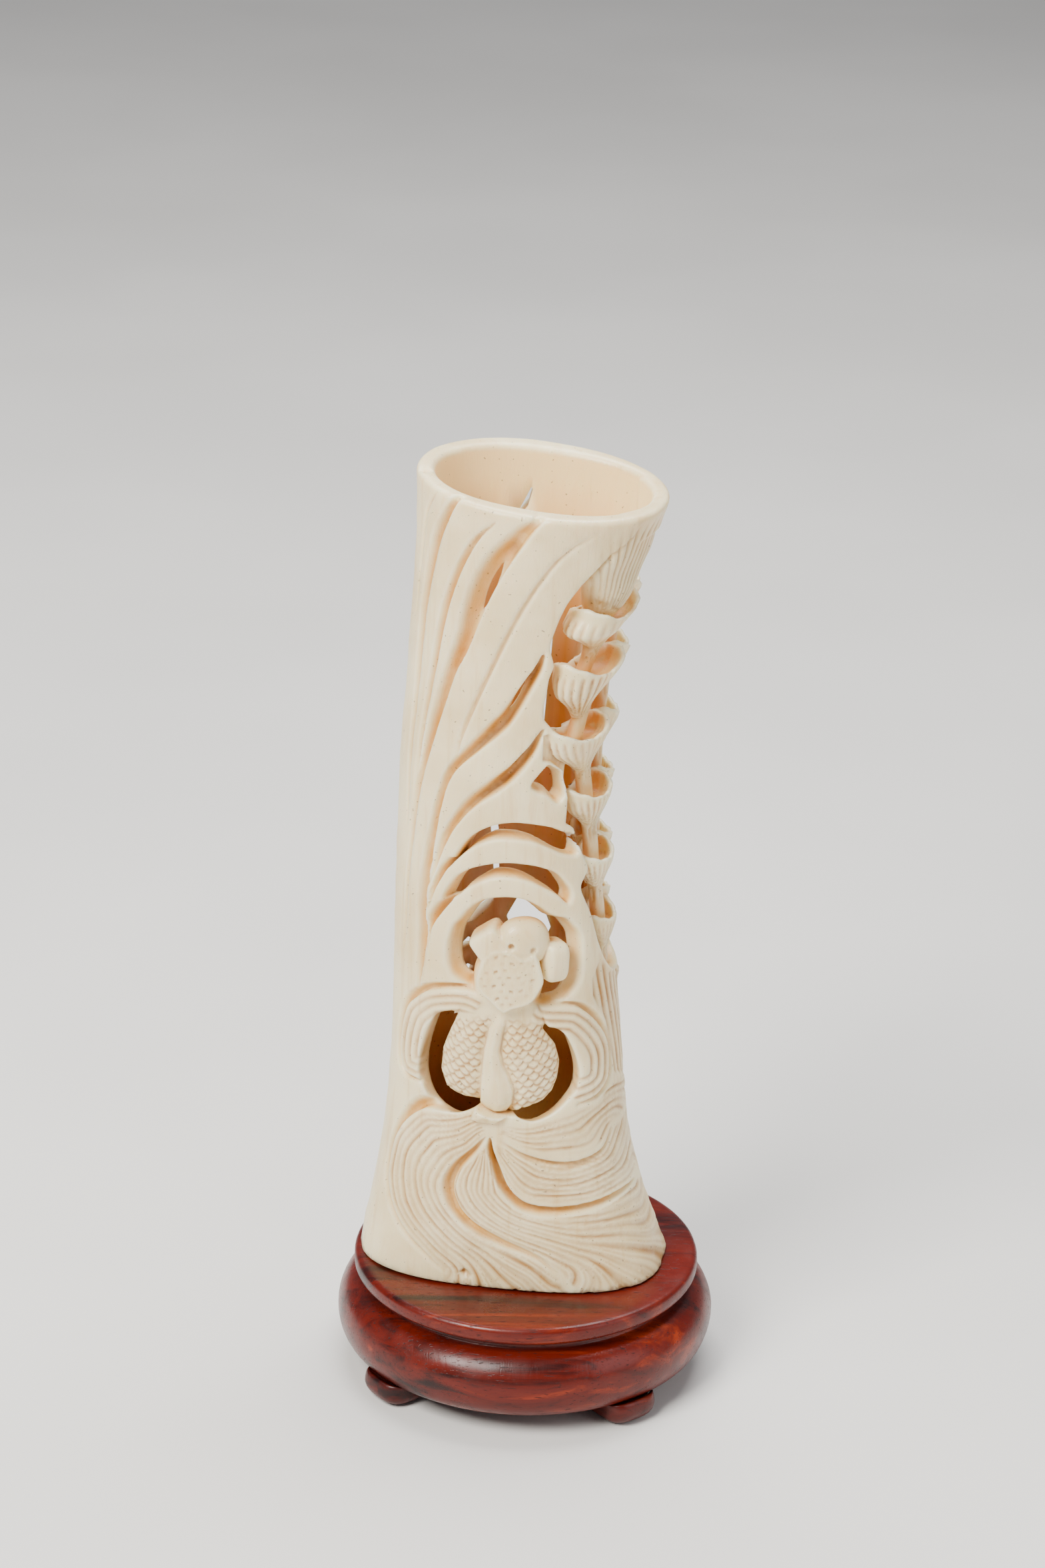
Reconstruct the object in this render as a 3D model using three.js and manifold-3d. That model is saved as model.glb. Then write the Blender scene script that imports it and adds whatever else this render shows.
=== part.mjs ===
// A hollow tusk section carved in openwork, on a small round wooden stand with four scroll feet.
// Millimetres, +Z up. The origin is the middle of the stand's underside, on the ground.
// The carved front faces -Y. A bearing is an angle round the tusk in degrees: 0 is the front,
// +90 the right-hand side and 180 the back. A height on the tusk is measured from its foot.

import * as THREE from 'three';
import { mergeVertices } from 'three/addons/utils/BufferGeometryUtils.js';
import Module from 'manifold-3d';

const wasm = await Module();
wasm.setup();

// Driving sizes of the tusk
const TUSK_HEIGHT = 151;            // foot to the middle of the rim
const TUSK_WIDTH = 44.9;            // across the rim, left to right
const TUSK_TURN = -9;               // the oval section's turn about +Z, degrees
const RIM_SLOPE_X = -0.0945;        // the sawn rim falls towards the right
const RIM_SLOPE_Y = 0.03;
const WALL_FRONT = 4.3;
const WALL_LEFT = 3.2;
const WALL_RIGHT = 2.6;
const SIDES_ROUND = 34;             // facets round the tusk
const LEVELS = [9, 22, 44, 78, 106, 124, 138];   // heights of the facet rows
const CUT_OUT = 10;                 // how far a cutting shape stands off the outer face
const CUT_IN = 12;                  // and how far it reaches inwards
const CUT_OVER = 6;                 // how far the hollow's cutter runs past each end

// Outline of the tusk: height, left edge, right edge, half depth, squareness of the oval
const SECTIONS = [
  [0, -30.8, 26.1, 17.8, 2.7],
  [6, -29.9, 24.0, 17.1, 2.6],
  [15, -28.1, 21.0, 16.4, 2.5],
  [27, -26.4, 18.3, 15.9, 2.4],
  [42, -25.5, 17.0, 15.7, 2.3],
  [60, -25.1, 15.4, 15.8, 2.25],
  [80, -24.8, 14.3, 16.2, 2.2],
  [100, -24.3, 14.0, 16.8, 2.15],
  [115, -23.2, 15.4, 17.4, 2.1],
  [130, -22.4, 17.6, 18.2, 2.1],
  [140, -22.0, 20.2, 18.9, 2.05],
  [151, -22.0, 22.9, 19.5, 2.05],
  [157, -22.0, 24.4, 19.9, 2.05],
];

// The carving is drawn for the heights and widths of this table and follows the tusk's own size
const RIM_ROW = SECTIONS[SECTIONS.length - 2];
const UPWARDS = TUSK_HEIGHT / RIM_ROW[0];
const ACROSS = TUSK_WIDTH / (RIM_ROW[2] - RIM_ROW[1]);

// Driving sizes of the stand
const STAND_HEIGHT = 22;
const STAND_SIDES = 40;
const DISC_RADIUS = 32;
const DISC_THICK = 3.5;
const WAIST_RADIUS = 29.6;
const WAIST_HEIGHT = 17.2;
const BULGE_RADIUS = 35;
const BULGE_HEIGHT = 10.2;          // height of the widest line
const UNDERSIDE_HEIGHT = 4.2;
const UNDERSIDE_RADIUS = 31;
const FOOT_COUNT = 4;
const FOOT_BEARING = 38;
const FOOT_WIDTH = 10.5;
const FOOT_ROUND = 0.8;             // rounding of a foot's long edges
const FOOT_LIP = 1.9;               // thickness of the toe's upturned lip
const FOOT_INSET = 0.2;             // how far the toe ends inside the bulge's widest line
const FOOT_REACH = BULGE_RADIUS - FOOT_INSET;
const FOOT_LENGTH = 12.5;
const LIP_CLEARANCE = 0.44;         // between the toe's lip and the rounding above it
const GAP = 0.3;                    // clearance between glued or resting pieces

// Driving sizes of the bells carved on the right-hand side
const BELL_WALL = 0.9;
const BELL_CUP = 2.2;               // depth of a bell's hollow mouth
const BELL_LOBE = 1.1;              // rise and fall of its wavy lip
const BELL_NECK = 1.7;
const BELL_SIDES = 9;

// Colours
const BONE = { color: 0xdccdb2, roughness: 0.42, metalness: 0 };
const ROSEWOOD = { color: 0x5c1c14, roughness: 0.35, metalness: 0 };

const rad = THREE.MathUtils.degToRad;

// One value of the outline table at a height, eased between its rows
function sectionValue(height, column) {
  const last = SECTIONS.length - 2;
  let k = 0;
  while (k < last && height > SECTIONS[k + 1][0]) k += 1;
  const h0 = SECTIONS[k][0];
  const h1 = SECTIONS[k + 1][0];
  const t = THREE.MathUtils.clamp((height - h0) / (h1 - h0), -0.5, 1.5);
  return THREE.MathUtils.lerp(SECTIONS[k][column], SECTIONS[k + 1][column], t);
}

function section(height) {
  const left = sectionValue(height, 1);
  const right = sectionValue(height, 2);
  return {
    middle: ACROSS * (left + right) / 2,
    halfWidth: ACROSS * (right - left) / 2,
    halfDepth: ACROSS * sectionValue(height, 3),
    power: sectionValue(height, 4),
  };
}

// Distance from the section's middle to the outer face
function radiusAt(bearing, height) {
  const s = section(height);
  const turned = rad(bearing - TUSK_TURN);
  const across = Math.abs(Math.sin(turned)) / s.halfWidth;
  const along = Math.abs(Math.cos(turned)) / s.halfDepth;
  return (across ** s.power + along ** s.power) ** (-1 / s.power);
}

function wallAt(bearing) {
  const side = Math.sin(rad(bearing));
  const end = side < 0 ? WALL_LEFT : WALL_RIGHT;
  return WALL_FRONT + (end - WALL_FRONT) * side * side;
}

// A point of the tusk at a drawn height: depth is measured inwards from the outer face
function onTusk(bearing, height, depth = 0) {
  const s = section(height);
  const r = radiusAt(bearing, height) - depth;
  const a = rad(bearing);
  return new THREE.Vector3(s.middle + r * Math.sin(a), -r * Math.cos(a), UPWARDS * height);
}

function rimHeight(x, y) {
  return TUSK_HEIGHT + RIM_SLOPE_X * x + RIM_SLOPE_Y * y;
}

// A closed solid from rings of points that all have the same number of corners
function skinRings(rings, startCap, endCap) {
  const points = [];
  const faces = [];
  const n = rings[0].length;
  rings.forEach((ring) => ring.forEach((p) => points.push(p.x, p.y, p.z)));
  for (let i = 0; i + 1 < rings.length; i += 1) {
    for (let j = 0; j < n; j += 1) {
      const a = i * n + j;
      const b = i * n + ((j + 1) % n);
      faces.push(a, b, b + n, a, b + n, a + n);
    }
  }
  addCap(points, faces, rings[0], 0, startCap, true);
  addCap(points, faces, rings[rings.length - 1], (rings.length - 1) * n, endCap, false);
  return solidFrom(points, faces);
}

// Closes an end: a fan round a middle point, or a strip across a four-cornered or ribbon end
function addCap(points, faces, ring, first, middle, flip) {
  const n = ring.length;
  if (middle) {
    const hub = points.length / 3;
    points.push(middle.x, middle.y, middle.z);
    for (let j = 0; j < n; j += 1) {
      const a = first + j;
      const b = first + ((j + 1) % n);
      if (flip) faces.push(b, a, hub);
      else faces.push(a, b, hub);
    }
    return;
  }
  for (let j = 1; j + 1 < n; j += 1) {
    const a = first;
    const b = first + j;
    const c = first + j + 1;
    if (flip) faces.push(c, b, a);
    else faces.push(a, b, c);
  }
}

// Turns plain point and face lists into a solid, whichever way the faces were wound
function solidFrom(points, faces) {
  const volume = signedVolume(points, faces);
  const order = volume < 0 ? [0, 2, 1] : [0, 1, 2];
  const turned = new Uint32Array(faces.length);
  for (let i = 0; i < faces.length; i += 3) {
    order.forEach((k, m) => { turned[i + m] = faces[i + k]; });
  }
  const mesh = new wasm.Mesh({
    numProp: 3,
    vertProperties: new Float32Array(points),
    triVerts: turned,
  });
  return new wasm.Manifold(mesh);
}

function signedVolume(points, faces) {
  let sum = 0;
  const a = new THREE.Vector3();
  const b = new THREE.Vector3();
  const c = new THREE.Vector3();
  for (let i = 0; i < faces.length; i += 3) {
    a.fromArray(points, faces[i] * 3);
    b.fromArray(points, faces[i + 1] * 3);
    c.fromArray(points, faces[i + 2] * 3);
    sum += a.dot(b.cross(c));
  }
  return sum;
}

function solidOf(geometry) {
  const bare = geometry.clone();
  bare.deleteAttribute('normal');
  bare.deleteAttribute('uv');
  const merged = mergeVertices(bare, 1e-4);
  return solidFrom(Array.from(merged.attributes.position.array), Array.from(merged.index.array));
}

function geometryOf(solid) {
  const mesh = solid.getMesh();
  const geometry = new THREE.BufferGeometry();
  const n = mesh.vertProperties.length / mesh.numProp;
  const xyz = new Float32Array(n * 3);
  for (let i = 0; i < n; i += 1) {
    for (let k = 0; k < 3; k += 1) xyz[i * 3 + k] = mesh.vertProperties[i * mesh.numProp + k];
  }
  geometry.setAttribute('position', new THREE.BufferAttribute(xyz, 3));
  geometry.setIndex(new THREE.BufferAttribute(new Uint32Array(mesh.triVerts), 1));
  geometry.computeVertexNormals();
  return geometry;
}

// Points along a smooth line through [bearing, height, ...] knots
function smooth(knots, count) {
  const curve = new THREE.SplineCurve(knots.map((k) => new THREE.Vector2(k[0], k[1] * 3)));
  const out = [];
  for (let i = 0; i < count; i += 1) {
    const p = curve.getPoint(i / (count - 1));
    out.push([p.x, p.y / 3]);
  }
  return out;
}

// The strip of wall between two lines, from one depth to another
function strip(lineA, lineB, count, outer = -CUT_OUT, inner = CUT_IN) {
  const a = smooth(lineA, count);
  const b = smooth(lineB, count);
  const rings = a.map((p, i) => [
    onTusk(p[0], p[1], outer),
    onTusk(b[i][0], b[i][1], outer),
    onTusk(b[i][0], b[i][1], inner),
    onTusk(p[0], p[1], inner),
  ]);
  return skinRings(rings);
}

// A carved groove: one steep side on the line and a floor that rises away from it.
// Each knot is [bearing, height, width, depth]; side +1 puts the slope on the line's left.
function groove(knots, side, count) {
  const line = smooth(knots, count);
  const sizes = [2, 3].map((column) => {
    const values = knots.map((k, i) => new THREE.Vector2(i / (knots.length - 1), k[column]));
    const curve = new THREE.SplineCurve(values);
    return line.map((_, i) => Math.max(0.12, curve.getPoint(i / (count - 1)).y));
  });
  const rings = line.map((p, i) => {
    const before = line[Math.max(0, i - 1)];
    const after = line[Math.min(count - 1, i + 1)];
    const r = radiusAt(p[0], p[1]);
    const run = new THREE.Vector2(rad(after[0] - before[0]) * r, after[1] - before[1]).normalize();
    const bearing = p[0] - (run.y * side * sizes[0][i] / r) * 180 / Math.PI;
    const height = p[1] + run.x * side * sizes[0][i];
    return [
      onTusk(p[0], p[1], -2),
      onTusk(p[0], p[1], sizes[1][i]),
      onTusk(bearing, height, -0.15),
      onTusk(bearing, height, -2),
    ];
  });
  return skinRings(rings);
}

// An egg shape lying on the wall: half sizes across, upwards and outwards
function egg(bearing, height, depth, across, up, out, tilt = 0, around = 11, rows = 6) {
  const geometry = new THREE.SphereGeometry(1, around, rows);
  geometry.scale(ACROSS * across, ACROSS * out, UPWARDS * up);
  geometry.rotateY(rad(tilt));
  geometry.rotateZ(rad(bearing));
  const at = onTusk(bearing, height, depth);
  geometry.translate(at.x, at.y, at.z);
  return solidOf(geometry);
}

// An oval ring lying level on the wall: [bearing, height, depth, half width round, half width out]
function ovalRing(place, share = 1, rise = () => 0) {
  const [bearing, height, depth, round, out] = place;
  const middle = onTusk(bearing, height, depth);
  const b = rad(bearing);
  const ring = [];
  for (let j = 0; j < BELL_SIDES; j += 1) {
    const a = (j / BELL_SIDES) * Math.PI * 2;
    const x = round * share * Math.sin(a);
    const y = out * share * Math.cos(a);
    ring.push(new THREE.Vector3(
      middle.x + x * Math.cos(b) + y * Math.sin(b),
      middle.y + x * Math.sin(b) - y * Math.cos(b),
      middle.z + rise(a),
    ));
  }
  return ring;
}

// A hollow-mouthed bell on the wall, its neck running down into the next one's mouth
function bell(mouth, next) {
  const [bearing, height, depth, round, out] = mouth;
  const foot = [next[0], next[1] - BELL_CUP - 1.2, next[2], BELL_NECK, BELL_NECK];
  const waist = mouth.map((v, i) => THREE.MathUtils.lerp(v, foot[i], 0.55));
  const wave = (a) => BELL_LOBE * -Math.cos(2 * a);
  const rings = [
    ovalRing(foot),
    ovalRing(waist),
    ovalRing(mouth, 1, wave),
    ovalRing([bearing, height, depth, round - BELL_WALL, out - BELL_WALL], 1, wave),
    ovalRing([bearing, height - BELL_CUP, depth, round - BELL_WALL, out - BELL_WALL], 0.6),
  ];
  const low = onTusk(foot[0], foot[1], foot[2]);
  const floor = onTusk(bearing, height - BELL_CUP, depth);
  return skinRings(rings, low, floor);
}

// The topmost bell hangs from the rim and has no mouth of its own
function topBell(places) {
  const rings = places.map((place) => ovalRing(place));
  const first = places[0];
  const last = places[places.length - 1];
  return skinRings(rings, onTusk(...first.slice(0, 3)), onTusk(...last.slice(0, 3)));
}

// Body of the tusk: an outer skin with the pulp hollow taken out of it
function tuskRings(inset, low, high) {
  const foot = low < 0 ? [0] : [];
  const levels = [low, ...foot, ...LEVELS, high];
  return levels.map((h, i) => {
    const ring = [];
    for (let j = 0; j < SIDES_ROUND; j += 1) {
      const bearing = (j / SIDES_ROUND) * 360;
      const depth = inset ? wallAt(bearing) : 0;
      const p = onTusk(bearing, h, depth);
      if (i === levels.length - 1) {
        const q = onTusk(bearing, rimHeight(p.x, p.y) / UPWARDS, depth);
        q.z = rimHeight(q.x, q.y) + (inset ? CUT_OVER : 0);
        ring.push(q);
      } else {
        ring.push(p);
      }
    }
    return ring;
  });
}

function tuskTube() {
  const s = section(0);
  const rim = section(RIM_ROW[0]);
  const foot = new THREE.Vector3(s.middle, 0, 0);
  const top = new THREE.Vector3(rim.middle, 0, rimHeight(rim.middle, 0));
  const outer = skinRings(tuskRings(false, 0, RIM_ROW[0]), foot, top);
  const lower = new THREE.Vector3(s.middle, 0, -CUT_OVER * UPWARDS);
  const upper = new THREE.Vector3(rim.middle, 0, rimHeight(rim.middle, 0) + CUT_OVER);
  const inner = skinRings(tuskRings(true, -CUT_OVER, RIM_ROW[0]), lower, upper);
  return outer.subtract(inner);
}

// Openings right through the wall, each between two lines of [bearing, height]
const OPENINGS = {
  arch_gap_upper: {
    a: [[-35, 84.4], [-22, 90.3], [-4, 93.3], [14, 93.6], [32, 92], [44, 88.6]],
    b: [[-34, 83.9], [-18, 88.6], [-4, 90.2], [14, 90], [28, 88.2], [44, 84.6]],
    count: 7,
  },
  arch_gap_lower: {
    a: [[-40, 77.6], [-32, 81.9], [-15, 84.8], [5, 85.8], [20, 85.2], [33, 83.2], [42, 79.6]],
    b: [[-39, 76], [-30, 78.8], [-15, 81.7], [3, 82.8], [18, 81.9], [30, 79.6], [40, 76.9]],
    count: 7,
  },
  head_gap: {
    a: [[3, 79], [-9, 78.6], [-23, 76.3], [-33, 71.4], [-34, 65.5], [-27, 61], [-12, 58.5]],
    b: [[8, 79], [20, 77.8], [34, 75.2], [44, 71.5], [46.5, 65], [44, 59.6], [32, 57.3]],
    count: 8,
  },
  left_crescent: {
    a: [[-34, 54], [-46, 51.4], [-53.5, 45.5], [-53.5, 40.3], [-46, 36], [-33, 34.7], [-22, 36]],
    b: [[-33, 53.4], [-42, 48], [-45.5, 43], [-43, 39.6], [-37, 37.7], [-29, 36.7], [-22, 36.5]],
    count: 9,
  },
  right_crescent: {
    a: [[26, 52], [33, 51], [39, 47], [41.5, 43], [38.5, 39.6], [31, 36.5], [20, 34.6], [9, 34.6]],
    b: [[26, 51.4], [31, 48.4], [34, 45], [34, 41.5], [30, 39], [23.5, 37], [16, 35.9], [9, 35.1]],
    count: 9,
  },
  leaf_window: {
    a: [[14, 99.9], [23, 103.6], [30, 103.5], [37, 101]],
    b: [[15, 99], [22, 97.4], [31, 96], [38, 95.6]],
    count: 4,
  },
  pod_window_1: {
    a: [[19, 136.5], [24, 139.6], [33, 138.6], [44, 137.5]],
    b: [[19.4, 136], [26, 134.6], [34, 133.4], [44, 133]],
    count: 4,
  },
  pod_window_2: {
    a: [[14, 127.5], [18, 130.4], [30, 130], [44, 129]],
    b: [[14.4, 125.4], [20, 123.8], [30, 123.6], [44, 123]],
    count: 4,
  },
  pod_window_3: {
    a: [[14.6, 113.7], [19.4, 115.4], [32, 116], [46, 116.5]],
    b: [[15, 113], [20, 111.8], [32, 111.2], [46, 111]],
    count: 4,
  },
  pod_side_upper: {
    a: [[43, 137.6], [40, 130], [42, 120], [42, 110], [40, 101], [41, 93.5]],
    b: [[112, 139.5], [121, 132], [124, 121], [122, 111], [118, 101], [116, 93]],
    count: 7,
  },
  pod_side_lower: {
    a: [[41, 94], [44, 88], [52, 82], [46, 78.5], [55, 72.5], [62, 65], [72, 60]],
    b: [[116, 94], [116, 87], [116, 80], [115, 74], [114, 68], [110, 63], [100, 59.5]],
    count: 8,
  },
  back_keyhole: {
    a: [[187, 145], [190, 142], [193, 139.5]],
    b: [[183, 142], [187, 139], [191, 137]],
    count: 3,
  },
  back_slot: {
    a: [[186, 82], [184, 76], [184, 69]],
    b: [[194, 81], [192, 75], [190, 69]],
    count: 4,
  },
  back_window: {
    a: [[146, 64], [160, 66], [178, 63.5]],
    b: [[142, 59.5], [160, 57.5], [180, 60]],
    count: 5,
  },
  back_slit_upper: {
    a: [[189, 67], [200, 65], [211, 61.5]],
    b: [[190, 64.5], [200, 62.3], [211, 59.8]],
    count: 4,
  },
  back_slit_middle: {
    a: [[204, 57.6], [211, 57.2], [219, 55.4]],
    b: [[204, 55.8], [211, 55], [219, 54]],
    count: 3,
  },
  back_slit_lower: {
    a: [[205, 51.8], [212, 52], [219, 51.2]],
    b: [[205, 50], [212, 49.9], [219, 50]],
    count: 3,
  },
};

// Grooves between the long water-weed blades and round the fish and its tail.
// Knots are [bearing, height, width, depth].
const GROOVES = {
  blade_1: {
    side: -1,
    count: 6,
    knots: [[-46, 151.5, 0.8, 0.5], [-58, 141, 1.7, 1.3], [-64, 123, 1.1, 1.1], [-67, 96, 0.4, 0.2]],
  },
  blade_2: {
    side: -1,
    count: 6,
    knots: [[-25, 148.5, 0.4, 0.3], [-44, 135.5, 1.1, 0.9], [-53, 114, 0.8, 0.7], [-59, 100, 0.3, 0.2]],
  },
  blade_3: {
    side: -1,
    count: 10,
    knots: [
      [-1, 149.5, 0.8, 0.6], [-13, 141.5, 4, 3], [-24, 133, 4.2, 6.4], [-34, 124, 3, 4],
      [-46, 110, 2.2, 2.6], [-56, 97, 1.6, 1.9], [-64, 82, 1, 1], [-68, 68, 0.4, 0.2],
    ],
  },
  blade_4: {
    side: -1,
    count: 6,
    knots: [[26, 146.8, 0.3, 0.2], [10, 141.5, 0.9, 0.7], [-12, 125, 1, 0.9], [-31, 104.6, 0.5, 0.3]],
  },
  blade_5: {
    side: -1,
    count: 10,
    knots: [
      [12.5, 124, 1, 2], [6, 117, 2.4, 6.4], [-7, 110, 2.8, 6.2], [-24, 104, 1.9, 3],
      [-38, 98, 1.6, 2.2], [-50, 79.5, 1.9, 1.8], [-58, 55.5, 0.5, 0.2],
    ],
  },
  blade_6: {
    side: -1,
    count: 8,
    knots: [
      [17, 109.3, 0.8, 1.5], [9, 103.5, 2.2, 6], [-3, 99, 2.6, 5.6], [-22, 94.6, 1.8, 2.6],
      [-38, 87.5, 1.2, 1.6], [-49, 78.8, 0.6, 0.4],
    ],
  },
  arch_foot_upper: {
    side: -1,
    count: 5,
    knots: [[-34, 84.3, 0.6, 2.6], [-42, 80.4, 0.9, 1.6], [-50, 73, 0.4, 0.3]],
  },
  arch_foot_lower: {
    side: -1,
    count: 5,
    knots: [[-38, 75.6, 1.4, 3], [-47, 71, 1.2, 1.8], [-53, 63, 0.4, 0.3]],
  },
  left_fin: {
    side: -1,
    count: 9,
    knots: [
      [-10, 58.6, 0.6, 0.6], [-32, 59.2, 1, 1.2], [-50, 57.8, 1.2, 1.3], [-64, 53.8, 1.1, 1.2],
      [-72, 46.5, 1, 1.1], [-70, 40.5, 1, 1], [-56, 38.6, 0.6, 0.5],
    ],
  },
  right_fin: {
    side: 1,
    count: 7,
    knots: [
      [30, 57.4, 0.8, 0.7], [47, 55.6, 1, 1.1], [60, 50, 1, 1.2], [64, 45, 1, 1.1],
      [59, 39.2, 1, 1], [45, 37, 0.6, 0.5],
    ],
  },
  tail_upper: {
    side: -1,
    count: 9,
    knots: [
      [-24, 35.4, 1.6, 1.2], [-42, 34.4, 2.6, 1.8], [-56, 33.2, 2.4, 1.8], [-68, 27.8, 1.2, 1.3],
      [-74, 19, 0.8, 1], [-64, 10.4, 0.8, 0.9], [-44, 4, 0.4, 0.3],
    ],
  },
  tail_middle: {
    side: 1,
    count: 8,
    knots: [
      [-17, 29, 0.6, 0.5], [-34, 24, 1.7, 1.6], [-40, 19.6, 2, 1.8], [-32, 13.4, 2, 1.6],
      [-12, 9.2, 1.6, 1.3], [10, 7.3, 1.1, 0.9], [25, 3.8, 0.4, 0.3],
    ],
  },
  tail_slot: {
    side: -1,
    count: 9,
    knots: [
      [-9, 28.4, 0.8, 1.6], [-4.5, 23.5, 1.4, 5.6], [3, 19, 1.8, 4], [18, 16.6, 1.9, 3],
      [38, 16.7, 1.6, 2.4], [60, 17.4, 1.3, 1.8], [74, 17.4, 0.4, 0.4],
    ],
  },
  tail_lower: {
    side: -1,
    count: 6,
    knots: [[-1, 28.6, 0.4, 0.4], [20, 26.1, 1, 1], [46, 25.5, 1, 1], [61, 29.6, 0.4, 0.3]],
  },
};

// The hidden back carries the same blades in a plainer form, evenly spaced
const BACK_BLADES = 5;
const BACK_FIRST = 151;
const BACK_STEP = 29;
const BACK_TOP = 146;
const BACK_LOW = 36;
const BACK_SWEEP = 34;
const BACK_WIDTH = 4.6;
const BACK_DEPTH = 2.9;
const BACK_SLOT = 6.2;              // deep enough there to pass through the wall

function backBlade(k) {
  const start = BACK_FIRST + k * BACK_STEP;
  const drop = BACK_TOP - BACK_LOW;
  const knots = [
    [start, BACK_TOP, 0.6, 0.4],
    [start - BACK_SWEEP * 0.4, BACK_TOP - drop * 0.2, BACK_WIDTH, k % 2 ? BACK_SLOT : BACK_DEPTH],
    [start - BACK_SWEEP * 0.75, BACK_TOP - drop * 0.5, BACK_WIDTH * 0.7, BACK_DEPTH],
    [start - BACK_SWEEP, BACK_LOW, 0.5, 0.3],
  ];
  return groove(knots, -1, 7);
}

// Two columns of bells, each neck running into the mouth of the bell below it.
// A mouth is [bearing, height, depth, half width round, half width out].
const TOP_BELL = [
  [80, 147, 2.4, 8, 2.4],
  [76, 141, 4.1, 6, 3.7],
  [69, 137.3, 4, 5.1, 3.8],
  [60, 134.4, 3.9, 3.6, 3.2],
  [52, 131.4, 3.8, 2.1, 2.1],
];
const FRONT_BELLS = [
  [61, 131.2, 3.8, 6.7, 5.2],
  [55, 121, 3.6, 6.6, 5.1],
  [50, 108.8, 3.5, 6.3, 4.9],
  [64, 96.3, 3.3, 5.7, 4.5],
  [71, 83.2, 3.1, 5.3, 4.1],
  [83, 69.8, 2.9, 5.2, 3.5],
];
const FRONT_BELL_END = [92, 58, 2.6, 5, 3.2];
const REAR_BELLS = [
  [103, 132, 3.4, 5.6, 4.3],
  [103, 120.3, 3.3, 5.6, 4.3],
  [104, 107.5, 3.2, 5.4, 4.2],
  [105, 96, 3.1, 5.2, 4.1],
  [107, 83.2, 3, 5, 4],
  [110, 72, 2.8, 4.6, 3.7],
];
const REAR_BELL_END = [113, 62, 2.6, 4.2, 3.4];

function bellColumn(places, end) {
  return places.map((place, k) => bell(place, places[k + 1] || end));
}

// The fish: two bubble eyes, a snout, a hood, two body halves and the fin along its back
const FISH = [
  egg(-12, 69.3, 2.0, 3.1, 3.3, 3.5),
  egg(30, 65.0, 2.0, 3.9, 4.0, 3.8),
  egg(11, 70.0, 0.8, 4.6, 3.2, 3.6),
  egg(3, 60.8, 1.9, 6.9, 6.4, 4.0, 0, 12, 7),
  egg(-29, 43.2, 3.3, 5.7, 9.2, 4.6, 10, 12, 7),
  egg(22, 43, 3.3, 6.1, 9.2, 4.6, -12, 12, 7),
  egg(-9.5, 43.6, 1.4, 2.4, 10.6, 3.2, 12, 8, 8),
];

function carvedTusk() {
  let solid = tuskTube();
  const cuts = [
    ...Object.values(OPENINGS).map((o) => strip(o.a, o.b, o.count)),
    ...Object.values(GROOVES).map((g) => groove(g.knots, g.side, g.count)),
  ];
  for (let k = 0; k < BACK_BLADES; k += 1) cuts.push(backBlade(k));
  cuts.forEach((c) => { solid = solid.subtract(c); });
  const bells = [
    topBell(TOP_BELL),
    ...bellColumn(FRONT_BELLS, FRONT_BELL_END),
    ...bellColumn(REAR_BELLS, REAR_BELL_END),
  ];
  [...FISH, ...bells].forEach((piece) => { solid = solid.add(piece); });
  return solid;
}

// Height of the stand's underside at a radius: flat, then rounding up into the bulge
function undersideAt(radius) {
  const out = (radius - UNDERSIDE_RADIUS) / (BULGE_RADIUS - UNDERSIDE_RADIUS);
  const t = THREE.MathUtils.clamp(out, 0, 1);
  return BULGE_HEIGHT - (BULGE_HEIGHT - UNDERSIDE_HEIGHT) * Math.sqrt(1 - t * t);
}

// The turned stand: a disc, a waist groove and a bulging body in one piece
function standGeometry() {
  const low = BULGE_HEIGHT - UNDERSIDE_HEIGHT;
  const high = WAIST_HEIGHT - 0.6 - BULGE_HEIGHT;
  const profile = [[0, UNDERSIDE_HEIGHT], [UNDERSIDE_RADIUS, UNDERSIDE_HEIGHT]];
  for (let i = 1; i < 4; i += 1) {
    const a = rad(-90 + i * 30);
    profile.push([
      UNDERSIDE_RADIUS + (BULGE_RADIUS - UNDERSIDE_RADIUS) * Math.cos(a),
      BULGE_HEIGHT + low * Math.sin(a),
    ]);
  }
  for (let i = 1; i < 4; i += 1) {
    const a = rad(i * 27);
    profile.push([
      WAIST_RADIUS + (BULGE_RADIUS - WAIST_RADIUS) * Math.cos(a),
      BULGE_HEIGHT + high * Math.sin(a),
    ]);
  }
  const edge = STAND_HEIGHT - DISC_THICK;
  profile.push([WAIST_RADIUS, WAIST_HEIGHT]);
  profile.push([WAIST_RADIUS, edge - 0.2]);
  profile.push([DISC_RADIUS, edge + 0.5]);
  profile.push([DISC_RADIUS, STAND_HEIGHT - 0.9]);
  profile.push([DISC_RADIUS - 0.7, STAND_HEIGHT]);
  profile.push([0, STAND_HEIGHT]);
  const geometry = new THREE.LatheGeometry(profile.map((p) => new THREE.Vector2(p[0], p[1])), STAND_SIDES);
  geometry.rotateX(Math.PI / 2);
  return geometry;
}

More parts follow.
